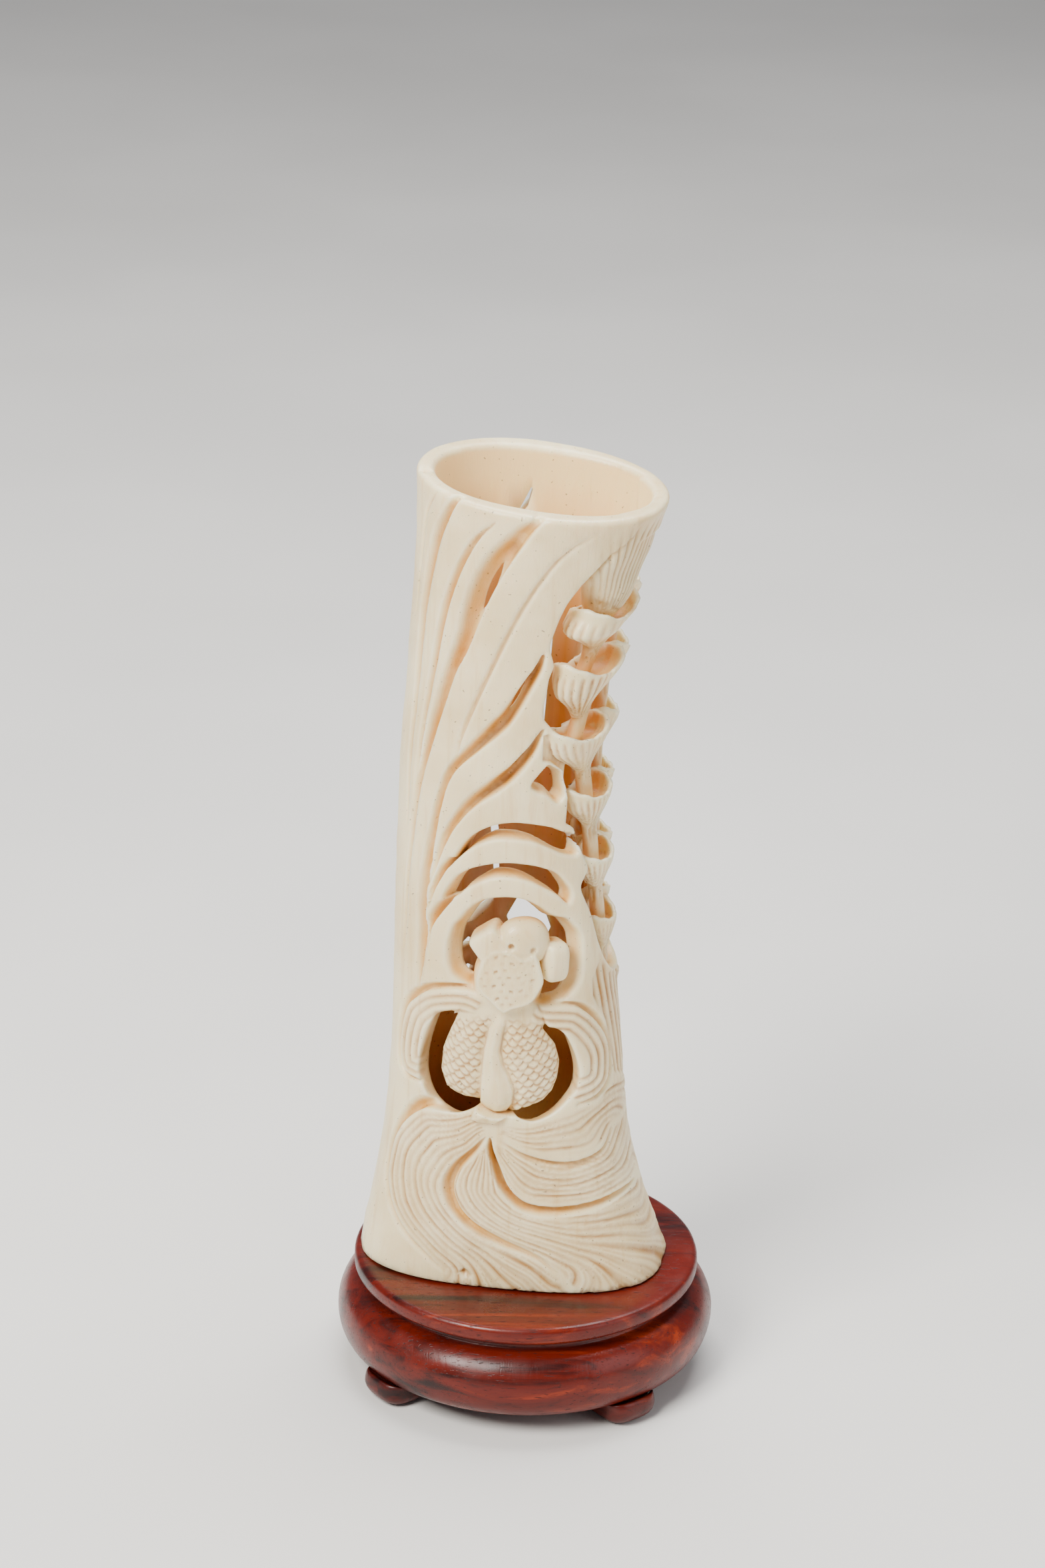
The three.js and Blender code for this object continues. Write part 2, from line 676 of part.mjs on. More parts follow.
// A scroll foot: its side outline runs outwards from the stand's middle and curls up at the toe
function footGeometry() {
  const inner = FOOT_REACH - FOOT_LENGTH;
  const top = UNDERSIDE_HEIGHT - GAP;
  const lipTop = undersideAt(FOOT_REACH - 1.2) - LIP_CLEARANCE;
  const shape = new THREE.Shape();
  shape.moveTo(inner, top);
  shape.lineTo(inner, top * 0.5);
  shape.quadraticCurveTo(inner + 0.4, 0, inner + 2.6, 0);
  shape.lineTo(FOOT_REACH - 2.8, 0);
  shape.quadraticCurveTo(FOOT_REACH - 0.2, 0.6, FOOT_REACH, lipTop - FOOT_LIP);
  shape.lineTo(FOOT_REACH - 0.6, lipTop);
  shape.lineTo(FOOT_REACH - 1.2, lipTop - 0.1);
  shape.lineTo(FOOT_REACH - 3.6, top);
  shape.closePath();
  const geometry = new THREE.ExtrudeGeometry(shape, {
    depth: FOOT_WIDTH - 2 * FOOT_ROUND,
    bevelEnabled: true,
    bevelThickness: FOOT_ROUND,
    bevelSize: FOOT_ROUND * 0.35,
    bevelOffset: -FOOT_ROUND * 0.35,
    bevelSegments: 1,
    curveSegments: 4,
  });
  geometry.rotateX(Math.PI / 2);
  geometry.translate(0, FOOT_WIDTH / 2 - FOOT_ROUND, 0);
  return geometry;
}

function named(name, geometry, look) {
  const mesh = new THREE.Mesh(geometry, new THREE.MeshStandardMaterial(look));
  mesh.name = name;
  return mesh;
}

const object = new THREE.Group();

const tusk = named('carved_tusk', geometryOf(carvedTusk()), BONE);
tusk.position.z = STAND_HEIGHT + GAP;
object.add(tusk);

object.add(named('stand', geometryOf(solidOf(standGeometry())), ROSEWOOD));

for (let k = 0; k < FOOT_COUNT; k += 1) {
  const foot = named(`foot_${k + 1}`, geometryOf(solidOf(footGeometry())), ROSEWOOD);
  foot.rotation.z = rad(FOOT_BEARING - 90 + (k * 360) / FOOT_COUNT);
  object.add(foot);
}

export default object;
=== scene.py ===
# A hollow tusk section carved in openwork, on a turned rosewood stand with four scroll feet.
# Lengths in the tables are millimetres and bearings are degrees round the tusk: 0 is the front,
# +90 the right-hand side, 180 the back. Heights on the tusk are measured from its foot.
import math

import bmesh
import bpy
import numpy as np
from mathutils import Matrix, Vector


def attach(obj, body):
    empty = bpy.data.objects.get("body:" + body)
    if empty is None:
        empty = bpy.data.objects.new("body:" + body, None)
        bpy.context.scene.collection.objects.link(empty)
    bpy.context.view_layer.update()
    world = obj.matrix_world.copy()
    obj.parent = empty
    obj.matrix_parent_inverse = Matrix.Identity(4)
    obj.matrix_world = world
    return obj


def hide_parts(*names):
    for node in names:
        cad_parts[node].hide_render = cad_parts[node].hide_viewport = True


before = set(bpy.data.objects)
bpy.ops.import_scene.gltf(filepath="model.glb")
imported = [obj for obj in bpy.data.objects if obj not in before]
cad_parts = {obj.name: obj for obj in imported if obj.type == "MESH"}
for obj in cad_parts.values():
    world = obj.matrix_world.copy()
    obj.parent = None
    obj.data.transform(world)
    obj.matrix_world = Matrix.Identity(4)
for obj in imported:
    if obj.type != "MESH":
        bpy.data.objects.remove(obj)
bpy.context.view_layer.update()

MM = 0.001

# Sizes of the tusk
TUSK_HEIGHT = 151.0
TUSK_FOOT = 22.3
TUSK_TURN = -9.0
RIM_SLOPE_X = -0.0945
RIM_SLOPE_Y = 0.03
WALL_FRONT = 4.3
WALL_LEFT = 3.2
WALL_RIGHT = 2.6
SECTIONS = np.array([
    (0, -30.8, 26.1, 17.8, 2.7), (6, -29.9, 24.0, 17.1, 2.6), (15, -28.1, 21.0, 16.4, 2.5),
    (27, -26.4, 18.3, 15.9, 2.4), (42, -25.5, 17.0, 15.7, 2.3), (60, -25.1, 15.4, 15.8, 2.25),
    (80, -24.8, 14.3, 16.2, 2.2), (100, -24.3, 14.0, 16.8, 2.15), (115, -23.2, 15.4, 17.4, 2.1),
    (130, -22.4, 17.6, 18.2, 2.1), (140, -22.0, 20.2, 18.9, 2.05), (151, -22.0, 22.9, 19.5, 2.05),
    (157, -22.0, 24.4, 19.9, 2.05)], float)

# How finely the carving is worked: fine steps over the carved face, wider ones round the back
FINE_FROM = -86.0
FINE_TO = 128.0
FINE_STEP = 0.41
WIDE_STEP = 0.85
STEP_UP = 0.24
STEP_DEEP = 0.32
HEIGHT_LOW = -0.5
HEIGHT_HIGH = 154.8
DEPTH_OUT = -3.3
DEPTH_IN = 9.9
FACE_LIMIT = 197000
# Rows in a smoothed line, and between two corners of a smoothed outline
LINE_STEPS = 60
CORNER_STEPS = 6

# Plain shaping helpers


def spline(knots, count):
    """A smooth line through the knots, as count rows."""
    k = np.asarray(knots, float)
    p = np.vstack([2 * k[0] - k[1], k, 2 * k[-1] - k[-2]])
    t = np.linspace(0, len(k) - 1, count)
    i = np.minimum(t.astype(int), len(k) - 2)
    u = (t - i)[:, None]
    a, b, c, d = p[i], p[i + 1], p[i + 2], p[i + 3]
    return 0.5 * (2 * b + (c - a) * u + (2 * a - 5 * b + 4 * c - d) * u ** 2
                  + (3 * b - a - 3 * c + d) * u ** 3)


def ease(a, b, x):
    """Smooth step from 0 at a to 1 at b."""
    t = np.clip((x - a) / (b - a), 0, 1)
    return t * t * (3 - 2 * t)


def blend_max(a, b, r):
    """The greater of two distances, rounded over r where they meet."""
    h = np.clip(0.5 + 0.5 * (a - b) / r, 0, 1)
    return b + (a - b) * h + r * h * (1 - h)


def blend_min(a, b, r):
    """The lesser of two distances, rounded the same way."""
    return -blend_max(-a, -b, r)


PROFILE = spline(SECTIONS, 241)


def section(z):
    """The tusk's cross-section at a height: middle, half width, half depth and squareness."""
    cols = [np.interp(z, PROFILE[:, 0], PROFILE[:, k]) for k in range(1, 5)]
    left, right, deep, power = cols
    return (left + right) / 2, (right - left) / 2, deep, power


def radius_at(bearing, z):
    _, a, b, n = section(z)
    t = np.radians(bearing - TUSK_TURN)
    return ((np.abs(np.sin(t)) / a) ** n + (np.abs(np.cos(t)) / b) ** n) ** (-1 / n)


def wall_at(bearing):
    """Thickness of the wall."""
    s = np.sin(np.radians(bearing))
    end = np.where(s < 0, WALL_LEFT, WALL_RIGHT)
    return WALL_FRONT + (end - WALL_FRONT) * s * s


def above_rim(bearing, z, reach):
    """Height above the plane of the sawn rim, at a distance from the axis."""
    x = section(z)[0] + reach * np.sin(np.radians(bearing))
    y = -reach * np.cos(np.radians(bearing))
    return z - (TUSK_HEIGHT + RIM_SLOPE_X * x + RIM_SLOPE_Y * y)


def on_tusk(bearing, z, depth):
    """The point at a bearing and height, so deep below the tusk's own face."""
    r = radius_at(bearing, z) - depth
    a = np.radians(bearing)
    return np.stack([section(z)[0] + r * np.sin(a), -r * np.cos(a), z + 0 * r], -1)


# The carving's drawing
# Openings right through the wall: corner knots of [bearing, height], smoothed, then how much
# the opening narrows for each millimetre inwards.
OPENINGS = {
    "arch_gap_upper": (0.12, [
        (-36, 82.8), (-29, 86.6), (-22, 89.3), (-13, 91.2), (-4, 92.3), (5, 92.7), (14, 92.5), (25, 91.8),
        (32, 91), (35.5, 90.3), (40, 90), (45, 88.4), (44.5, 85.4), (36, 85.9), (24, 87.9), (13, 89.1),
        (-4, 89.3), (-16, 88), (-26, 85.8)]),
    "arch_gap_lower": (0.12, [
        (-41, 76.3), (-33, 80.6), (-25, 82.6), (-16, 83.8), (-5, 84.6), (5, 84.8), (17, 84.4), (25, 83.6),
        (31, 82.7), (36, 81), (41, 78.4), (39, 76.2), (33, 78), (27, 79.3), (18, 80.8), (9, 81.7), (-3, 81.9),
        (-13, 81), (-24, 79.1), (-31, 77.2)]),
    "head_gap": (0.3, [
        (-5, 78), (-14, 77.3), (-23, 75.5), (-30, 73), (-35, 71), (-38.5, 66.5), (-37, 62.4), (-28, 60),
        (-12, 58), (10, 57.5), (25, 56.6), (32, 56.9), (40, 58), (46, 61), (48, 64.6), (47, 69.5), (43, 71.8),
        (38, 73.6), (30, 74.5), (22, 76.4), (14, 77.7), (5, 78.2)]),
    "left_crescent": (-0.35, [
        (-34.4, 54.4), (-45.4, 53), (-51.6, 49.2), (-55.8, 45.1), (-57.2, 42.2), (-56.4, 39.6), (-51.2, 36.4),
        (-41, 34.5), (-32, 34.4), (-22, 36.2), (-31.4, 36.9), (-37.4, 37.7), (-43.4, 38.9), (-46.9, 42.2),
        (-45.4, 46.5), (-40.4, 50.4), (-35.4, 53.2)]),
    "right_crescent": (-0.35, [
        (26, 52.2), (31, 52), (36, 50.6), (40.6, 47), (43, 43.3), (42.2, 40.6), (39, 38.7), (31, 36),
        (22, 34.3), (15, 33.9), (8, 34.7), (15, 35.9), (24.8, 36.9), (30.8, 39), (33.8, 41.4), (35.8, 43.6),
        (35.8, 46), (32.8, 49.4)]),
    "leaf_window": (0.3, [
        (14, 99.8), (19, 102.2), (23.5, 103.7), (28, 103.2), (34, 101.8), (36.5, 99), (36, 97.3), (31, 95.9),
        (24, 97.6), (18, 98.3)]),
    "post_gap": (0.1, [
        (35.5, 90.6), (38, 89.4), (45, 88.4), (44, 86.4), (40, 87), (36, 87.7)]),
    "leaf_side": (0.0, [
        (46, 144.6), (38.7, 142.9), (31.7, 140.2), (26.3, 138.1), (21.6, 135.4), (19.5, 133.7), (16.7, 130.1),
        (14.9, 126.5), (16.7, 124.5), (18.5, 122.6), (16.9, 120.1), (16.7, 117.0), (16.0, 114.3), (17.2, 112.6),
        (21.9, 110.9), (26.7, 109.3), (34, 107), (44, 106), (54, 106), (54, 120), (54, 136), (54, 144)]),
    "pod_side_upper": (0.05, [
        (43, 142.5), (60, 143.6), (80, 143.6), (100, 142.6), (114, 140), (121, 134), (124, 122), (122, 110),
        (118, 101), (116.5, 93), (110, 91), (60, 91), (41, 92), (40, 101), (42, 110), (42.5, 120), (40, 130),
        (41, 134)]),
    "pod_side_lower": (0.05, [
        (41, 94), (60, 96), (110, 96), (116.5, 94), (116, 86), (115.5, 78), (114, 70), (111, 63.5), (103, 59.8),
        (90, 58.6), (76, 59.5), (66, 62.5), (60, 66.5), (54, 72.8), (47, 78.4), (49, 80.6), (51.5, 82.3),
        (46, 86.6), (42, 90)]),
    "tail_slit": (0.3, [
        (-8.6, 26.6), (-5.2, 24), (-1.8, 21), (-3.4, 19.9), (-7, 20.8), (-9, 23.6)]),
    "back_keyhole": (0.1, [
        (194, 139), (190, 142), (186, 144.6), (183.5, 143.4), (185, 140.6), (189, 138.4), (193, 137)]),
    "back_slot": (0.1, [
        (186, 82), (190, 84), (194, 81.5), (192.6, 75), (191, 69), (187.5, 67.4), (184.6, 69), (184.6, 76)]),
    "back_window": (0.1, [
        (146, 64.2), (153, 66), (162, 66.2), (171, 65.6), (178, 63.4), (181, 61), (174, 58.4), (160, 57.2),
        (147, 57.6), (141.5, 60.5)]),
    "back_slit_upper": (0.1, [
        (188.6, 66), (194, 67), (202, 65), (210, 62.2), (213, 60), (207, 59.9), (198, 62), (190, 64)]),
    "back_slit_middle": (0.1, [
        (203.6, 57), (211, 57.6), (219.6, 55.2), (217, 53.8), (211, 54.6), (205, 55.4)]),
    "back_slit_lower": (0.1, [
        (204.6, 51.2), (211, 52.2), (219.4, 50.8), (217, 49.8), (211, 49.7), (206, 49.7)]),
}

# Grooves with one steep side on the line: side (+1 the slope lies left of the line's run),
# then knots of [bearing, height, width, depth].
GROOVES = {
    "blade_0": (-1, [
        (-61, 151.6, .3, .2), (-66, 149.1, .7, .5), (-69.5, 146, .8, .5), (-72, 140, .6, .4), (-74, 128, .4, .2)]),
    "blade_1": (-1, [
        (-46, 152.3, 1, .8), (-51, 148.5, 1.9, 1.8), (-59, 139.8, 2.5, 2.4), (-64, 122.7, 2.0, 2.1),
        (-66, 102.2, 1.2, 1.3), (-68, 88, .3, .15)]),
    "blade_2": (-1, [
        (-25, 148.7, .5, .4), (-35, 144.2, 1.2, 1.1), (-44, 135.4, 1.6, 1.6), (-52, 119, 1.4, 1.5),
        (-57, 106, .9, .9), (-60, 98, .3, .15)]),
    "blade_3": (-1, [
        (-0.5, 149.9, 1.4, .6), (-8, 146, 3.6, 1.8), (-20, 137.9, 4.9, 3.6), (-31, 125.7, 3.4, 3.2),
        (-39, 119, 2.8, 2.4), (-49, 106, 2.2, 2.1), (-56, 97, 1.7, 1.7), (-62, 86, 1.3, 1.2),
        (-66, 77.7, 1.0, .9), (-69, 64, .4, .2)]),
    "blade_4": (-1, [
        (28, 147.2, .3, .1), (14, 143.7, .9, .45), (2, 137, 1.1, .6), (-14, 123, 1.1, .7), (-28, 110, 1, .6),
        (-32, 103.6, .5, .3)]),
    "blade_5": (-1, [
        (12.5, 124.4, .8, 1.4), (11, 121, 1.8, 2.6), (0, 112.9, 2.9, 3.6), (-7, 109.8, 3.2, 3.2),
        (-20, 105.8, 2.4, 2.4), (-33, 101.5, 1.7, 1.8), (-40, 95.8, 1.5, 1.6), (-46, 86.6, 1.8, 1.7),
        (-51, 77.5, 2, 1.7), (-54, 64.8, 1.5, 1.3), (-58, 55.1, .5, .2)]),
    "blade_6": (-1, [
        (18, 110, .8, 1.2), (14, 105.8, 2, 2.8), (6, 102, 2.6, 3.2), (-3, 99.2, 3, 3), (-18, 95.8, 2.4, 2.2),
        (-29, 92.2, 1.7, 1.7), (-38, 87.4, 1.3, 1.3), (-49, 78.6, .6, .3)]),
    "arch_foot_upper": (-1, [
        (-34, 83.9, 1, 2.6), (-39, 81.7, 1.2, 2), (-45, 78.2, 1, 1.3), (-50, 74, .5, .4)]),
    "arch_foot_lower": (-1, [
        (-34, 76.6, 1.2, 3.2), (-41, 73.8, 1.8, 2.6), (-48, 70.2, 1.6, 1.8), (-52, 65, .7, .6),
        (-54, 60, .3, .2)]),
    "left_fin": (-1, [
        (-8, 57.4, .6, .5), (-20, 58.9, 1, 1), (-32, 59.2, 1.2, 1.3), (-49, 57.8, 1.5, 1.5),
        (-59, 55.5, 1.6, 1.6), (-66, 52.8, 1.5, 1.5), (-71, 48, 1.3, 1.4), (-72, 42.5, 1.2, 1.3),
        (-67, 39.3, 1, 1.1), (-54, 38.8, .6, .5)]),
    "right_fin": (1, [
        (25, 57.1, .6, .5), (41, 56.3, 1, 1), (49, 54.6, 1.2, 1.2), (57, 51.4, 1.3, 1.3), (62, 48, 1.2, 1.3),
        (63.5, 44.5, 1.2, 1.2), (61, 40, 1.1, 1.1), (53, 37.6, .9, .8), (42, 36.7, .5, .4)]),
    "tail_upper": (-1, [
        (-22, 35.6, 1, .8), (-31, 34.6, 2.4, 1.6), (-42, 34.2, 3, 2), (-54, 33.6, 2.6, 2), (-65, 30, 1.6, 1.6),
        (-72, 25, 1, 1.2), (-74, 19, .8, 1), (-70, 14, .8, .9), (-62, 9.4, .8, .8), (-50, 5.4, .6, .5),
        (-39, 2.4, .4, .2)]),
    "tail_middle": (1, [
        (-14, 30, .5, .4), (-22, 27.4, 1.3, 1.2), (-34, 23.8, 2, 1.8), (-40, 20.2, 2.3, 2),
        (-39.5, 17, 2.3, 1.9), (-34, 13.8, 2.2, 1.7), (-24, 11.2, 2, 1.5), (-8, 9, 1.7, 1.2),
        (14, 6.6, 1.2, .8), (25, 3.6, .5, .2)]),
    "tail_slot": (-1, [
        (-10, 29.4, .8, .9), (-9, 27.4, 1.4, 2.2), (-4, 23.6, 1.9, 3.6), (0, 20.6, 2, 3.4), (6, 18.4, 2, 2.8),
        (14, 17, 2.1, 2.6), (28, 16.5, 2, 2.3), (44, 16.9, 1.8, 2), (61, 17.6, 1.3, 1.5), (76, 17.2, .5, .3)]),
    "tail_lower": (-1, [
        (-3, 29.4, .4, .3), (8, 27.5, .9, .8), (21, 26.1, 1.2, 1.1), (35, 25.3, 1.3, 1.2), (47, 25.7, 1.2, 1.1),
        (56, 27, 1, .9), (62, 30, .4, .2)]),
}

# Slits cut in the floor of a groove, beside its steep side: the groove, heights of the slit's ends, width
SLITS = [("blade_3", 141.0, 130.5, 2.3), ("blade_5", 121.4, 111.4, 1.8), ("blade_6", 107.0, 101.2, 1.6)]

# The hidden back: plain long leaves, evenly spaced, two of them cut through
BACK_BLADES = 5
BACK_FIRST = 151
BACK_STEP = 29
BACK_TOP = 146
BACK_LOW = 36
BACK_SWEEP = 34
BACK_WIDTH = 4.6
BACK_DEPTH = 2.9
BACK_SLOT = 6.2

# Outlines of the fish's body, the fin along its back and its two side fins: [bearing, height]
BODY = [(-33, 54), (-40.5, 50.8), (-45.9, 47), (-47.4, 42.2), (-43.9, 38.6), (-37.4, 37.3), (-29, 36.6),
        (-20, 35.8), (-8, 34.6), (8, 34.6), (17, 35.8), (25, 37), (31.4, 39.2), (34.8, 42), (36.4, 45.4),
        (33.8, 49), (27, 52), (20, 58), (2, 64), (-20, 60)]
BACK_FIN = [(-2, 56), (-10, 52), (-14, 47.4), (-16.2, 42), (-17.4, 38), (-20, 35.6), (-22.5, 33.8),
            (-18, 33.3), (-8, 33.2), (0, 34.6), (3.4, 37), (4.2, 40), (1, 42.6), (-2.6, 44.6), (-4.6, 47.6),
            (-2, 51.6), (1, 55)]
LEFT_FIN = [(-14, 57.6), (-32, 58.9), (-49, 57.6), (-59, 55.4), (-66, 52.7), (-71, 48), (-72, 42.5),
            (-67, 39.5), (-58, 38.8), (-52, 37.6), (-50, 37.4), (-54, 40.3), (-53, 45.1), (-45, 51.4),
            (-32, 54.2), (-20, 55)]
RIGHT_FIN = [(20, 57), (41, 56.1), (49, 54.5), (57, 51.3), (61.6, 48), (63, 44.6), (60.6, 40.2),
             (53, 37.8), (43, 37.2), (38, 38.6), (41.4, 43.3), (39, 46.9), (34, 50.8), (26, 52.2),
             (16, 54)]

# Bubble eyes and snout of the fish: bearing, height, depth, half sizes across, up and out,
# how square it is, and how far it is turned
HEAD = {
    "left_eye": (-8.8, 68.4, 1.7, 2.95, 3.2, 3.4, 6.0, 36),
    "right_eye": (31.8, 65.2, 1.6, 2.3, 3.8, 3.0, 3.8, -3),
    "snout": (12.8, 69.1, 1.5, 4.7, 4.5, 3.3, 2.3, 0),
    "nape": (3, 61.0, 3.4, 6.2, 6.4, 4.4, 2.4, 0),
}
# Small chips in the rim and the foot: bearing, height, depth, size
CHIPS = [(-84.5, 153.2, 1.2, 0.9), (-71.9, 154.6, 0.6, 0.6), (-28.4, 2.5, 0.1, 0.85), (-26.2, 2.2, 0.1, 0.6)]
# Bearing and height
NOSTRILS = [(4.2, 69.3), (16.6, 68.4)]
# The hood: a shield with a wavy upper edge that lies over the snout
HOOD = [(-5.6, 68.7), (0.1, 68.6), (6.0, 68.4), (10.1, 67.3), (13.7, 67.4), (17.3, 67.9), (19.6, 66.6),
        (20.5, 65.2), (21.9, 62.5), (19.7, 60.8), (14.4, 58.3), (4.8, 57.1), (-1.3, 56.2), (-8.3, 58.2),
        (-15.5, 60.3), (-16.9, 62.5), (-12.7, 66.6)]
HOOD_RISE = 2.5

# Two columns of bells, each neck running into the mouth of the bell below it.
# A mouth is [bearing, height, depth, half width round, half width out].
TOP_BELL = [(80, 151, 5.6, 12, 3.9), (76, 146, 5.3, 11.8, 3.9), (70, 141.5, 4.9, 11, 3.9),
            (60, 138, 4.7, 8.2, 4.1),
            (57, 135.4, 4.3, 6.2, 4.2), (56.6, 133.4, 4.1, 5.2, 4.1), (54.5, 131.6, 3.9, 4.0, 3.6),
            (54.5, 129.8, 3.9, 2.7, 2.6), (53, 127.4, 3.9, 1.7, 1.7)]
FRONT_BELLS = [(61, 131.2, 3.8, 6.7, 5.2), (55, 121, 3.6, 6.6, 5.1), (50, 108.8, 3.5, 6.3, 4.9),
               (64, 96.3, 3.3, 5.7, 4.5), (71, 83.2, 3.1, 5.3, 4.1), (83, 69.8, 2.9, 5.2, 3.5),
               (92, 58, 2.6, 5, 3.2)]
REAR_BELLS = [(103, 132, 3.4, 5.6, 4.3), (103, 120.3, 3.3, 5.6, 4.3), (104, 107.5, 3.2, 5.4, 4.2),
              (105, 96, 3.1, 5.2, 4.1), (107, 83.2, 3, 5, 4), (110, 72, 2.8, 4.6, 3.7),
              (113, 62, 2.6, 4.2, 3.4)]
# How far the foot of a front bell's neck leans round and inwards
FRONT_LEANS = ((-7, 1.5), (-3, 0.6))
# Where the lowest bell's neck ends, from its mouth: round, up and inwards
LAST_NECK = (3, -9, 1)
BELL_WALL = 0.8
BELL_CUP = 3.0
BELL_LOBE = 1.1
BELL_NECK = 1.7
BELL_DROP = 6.2
BELL_FLUTES = 26
# How far the front bells flare out to the left, and how that flare runs down below the lip
LEFT_FLARES = ((1.1, 1.0), (0.95, 1.45), (0.75, 1.2), (0.45, 1.0), (0.35, 1.0), (0.2, 1.0))
BELL_FLARE = [(-3, .3), (0, .36), (2, .56), (3.4, .66), (4.4, .56), (5.6, .32), (7, .1), (8.4, 0), (20, 0)]
# How wide a bell is at each distance below its lip, as a share of its mouth
BELL_SHAPE = [(-3, 1.08), (-1, 1.05), (0, 1.0), (2, 0.87), (3.6, 0.71), (5, 0.56), (6.4, 0.42), (8, 0.31),
              (10, 0.26), (13, 0.25), (19, 0.25)]

# The unrolled face of the tusk
BEARINGS = np.concatenate([np.arange(FINE_FROM, FINE_TO, FINE_STEP),
                           np.arange(FINE_TO, FINE_FROM + 359.9, WIDE_STEP)])
HEIGHTS = np.arange(HEIGHT_LOW, HEIGHT_HIGH, STEP_UP)
RISE = HEIGHTS[1] - HEIGHTS[0]
STEPS_ROUND = len(BEARINGS)
STEPS_UP = len(HEIGHTS)
ONCE_ROUND = np.append(BEARINGS, FINE_FROM + 360)
DEPTHS = np.arange(DEPTH_OUT, DEPTH_IN, STEP_DEEP)
BB, ZZ = np.meshgrid(BEARINGS, HEIGHTS, indexing="ij")
RR = radius_at(BB, ZZ)


def patch(points, margin):
    """The part of the unrolled face round some points: its index, bearings and heights."""
    b, z = points[:, 0], points[:, 1]
    mid = (b.min() + b.max()) / 2
    half = (b.max() - b.min()) / 2 + np.degrees(margin / 14)
    near = (BEARINGS - mid + 180) % 360 - 180 + mid
    ib = np.nonzero(np.abs(near - mid) <= half)[0]
    iz = np.nonzero((HEIGHTS > z.min() - margin) & (HEIGHTS < z.max() + margin))[0]
    bb, zz = np.meshgrid(near[ib], HEIGHTS[iz], indexing="ij")
    return np.ix_(ib, iz), bb, zz


def along(line, bb, zz, closed=False):
    """Distance to a line (its left side positive) and the place along it, from 0 to its last row."""
    scale = np.radians(1) * radius_at(line[:, 0], line[:, 1]).mean()
    px, py = line[:, 0] * scale, line[:, 1]
    x = bb * scale
    best = np.full(bb.shape, 1e9)
    side = np.zeros(bb.shape)
    place = np.zeros(bb.shape)
    count = len(line) if closed else len(line) - 1
    for i in range(count):
        j = (i + 1) % len(line)
        dx, dy = px[j] - px[i], py[j] - py[i]
        u = np.clip(((x - px[i]) * dx + (zz - py[i]) * dy) / max(dx * dx + dy * dy, 1e-9), 0, 1)
        qx, qy = x - px[i] - u * dx, zz - py[i] - u * dy
        d = qx * qx + qy * qy
        nearer = d < best
        best = np.where(nearer, d, best)
        side = np.where(nearer, dx * qy - dy * qx, side)
        place = np.where(nearer, i + u, place)
    return np.sqrt(best) * np.where(side < 0, -1, 1), place


def within(corners, bb, zz):
    """Distance to a closed outline, negative inside it."""
    line = np.asarray(corners, float)
    d = np.abs(along(line, bb, zz, closed=True)[0])
    inside = np.zeros(bb.shape, bool)
    n = len(line)
    for i in range(n):
        (x0, y0), (x1, y1) = line[i], line[(i + 1) % n]
        if y0 == y1:
            continue
        crosses = (y0 > zz) != (y1 > zz)
        inside ^= crosses & (bb < (x1 - x0) * (zz - y0) / (y1 - y0) + x0)
    return np.where(inside, -d, d)


def ring_of(corners):
    """A smooth closed outline through its corners."""
    k = np.asarray(corners, float)
    looped = np.vstack([k[-2:], k, k[:3]])
    full = spline(looped, (len(looped) - 1) * CORNER_STEPS + 1)
    return full[2 * CORNER_STEPS:(2 + len(k)) * CORNER_STEPS]


relief = np.zeros(BB.shape)          # how deep the carved face lies below the tusk's own face
opening = np.full(BB.shape, 6.0)     # distance to the nearest opening, negative in it
narrowing = np.zeros(BB.shape)
scratch = np.zeros(BB.shape)         # where the carver's fine lines run, for the stain


def cut_groove(side, knots):
    """A groove with one steep side on the line and a slope away from it."""
    line = spline(knots, LINE_STEPS)
    spot, bb, zz = patch(line, 6)
    d, place = along(line[:, :2], bb, zz)
    s = d * side
    width = np.maximum(np.interp(place, np.arange(LINE_STEPS), line[:, 2]), 0.2)
    depth = np.maximum(np.interp(place, np.arange(LINE_STEPS), line[:, 3]), 0.0)
    slope = depth * (1 - ease(0.3, 1, s / width))
    steep = depth * np.clip(1 + s / 0.3, 0, 1)
    relief[spot] = np.maximum(relief[spot], np.where(s >= 0, slope, steep))


def cut_opening(name):
    """An opening right through the wall."""
    slope, corners = OPENINGS[name]
    line = ring_of(corners)
    spot, bb, zz = patch(line, 6)
    d = within(line, bb, zz)
    nearer = d < opening[spot]
    opening[spot] = np.where(nearer, d, opening[spot])
    narrowing[spot] = np.where(nearer, slope, narrowing[spot])


def cut_slit(groove, top, low, width):
    """A pointed slit through the floor of a groove."""
    side, knots = GROOVES[groove]
    line = spline(knots, LINE_STEPS)
    spot, bb, zz = patch(line, 6)
    d, place = along(line[:, :2], bb, zz)
    z = np.interp(place, np.arange(LINE_STEPS), line[:, 1])
    share = np.clip((z - low) / (top - low), 0, 1)
    half = width / 2 * np.sin(np.pi * share) ** 0.6 - 0.08
    gap = np.abs(d * side - 0.2 - width / 2) - half
    nearer = gap < opening[spot]
    opening[spot] = np.where(nearer, gap, opening[spot])
    narrowing[spot] = np.where(nearer, 0.12, narrowing[spot])


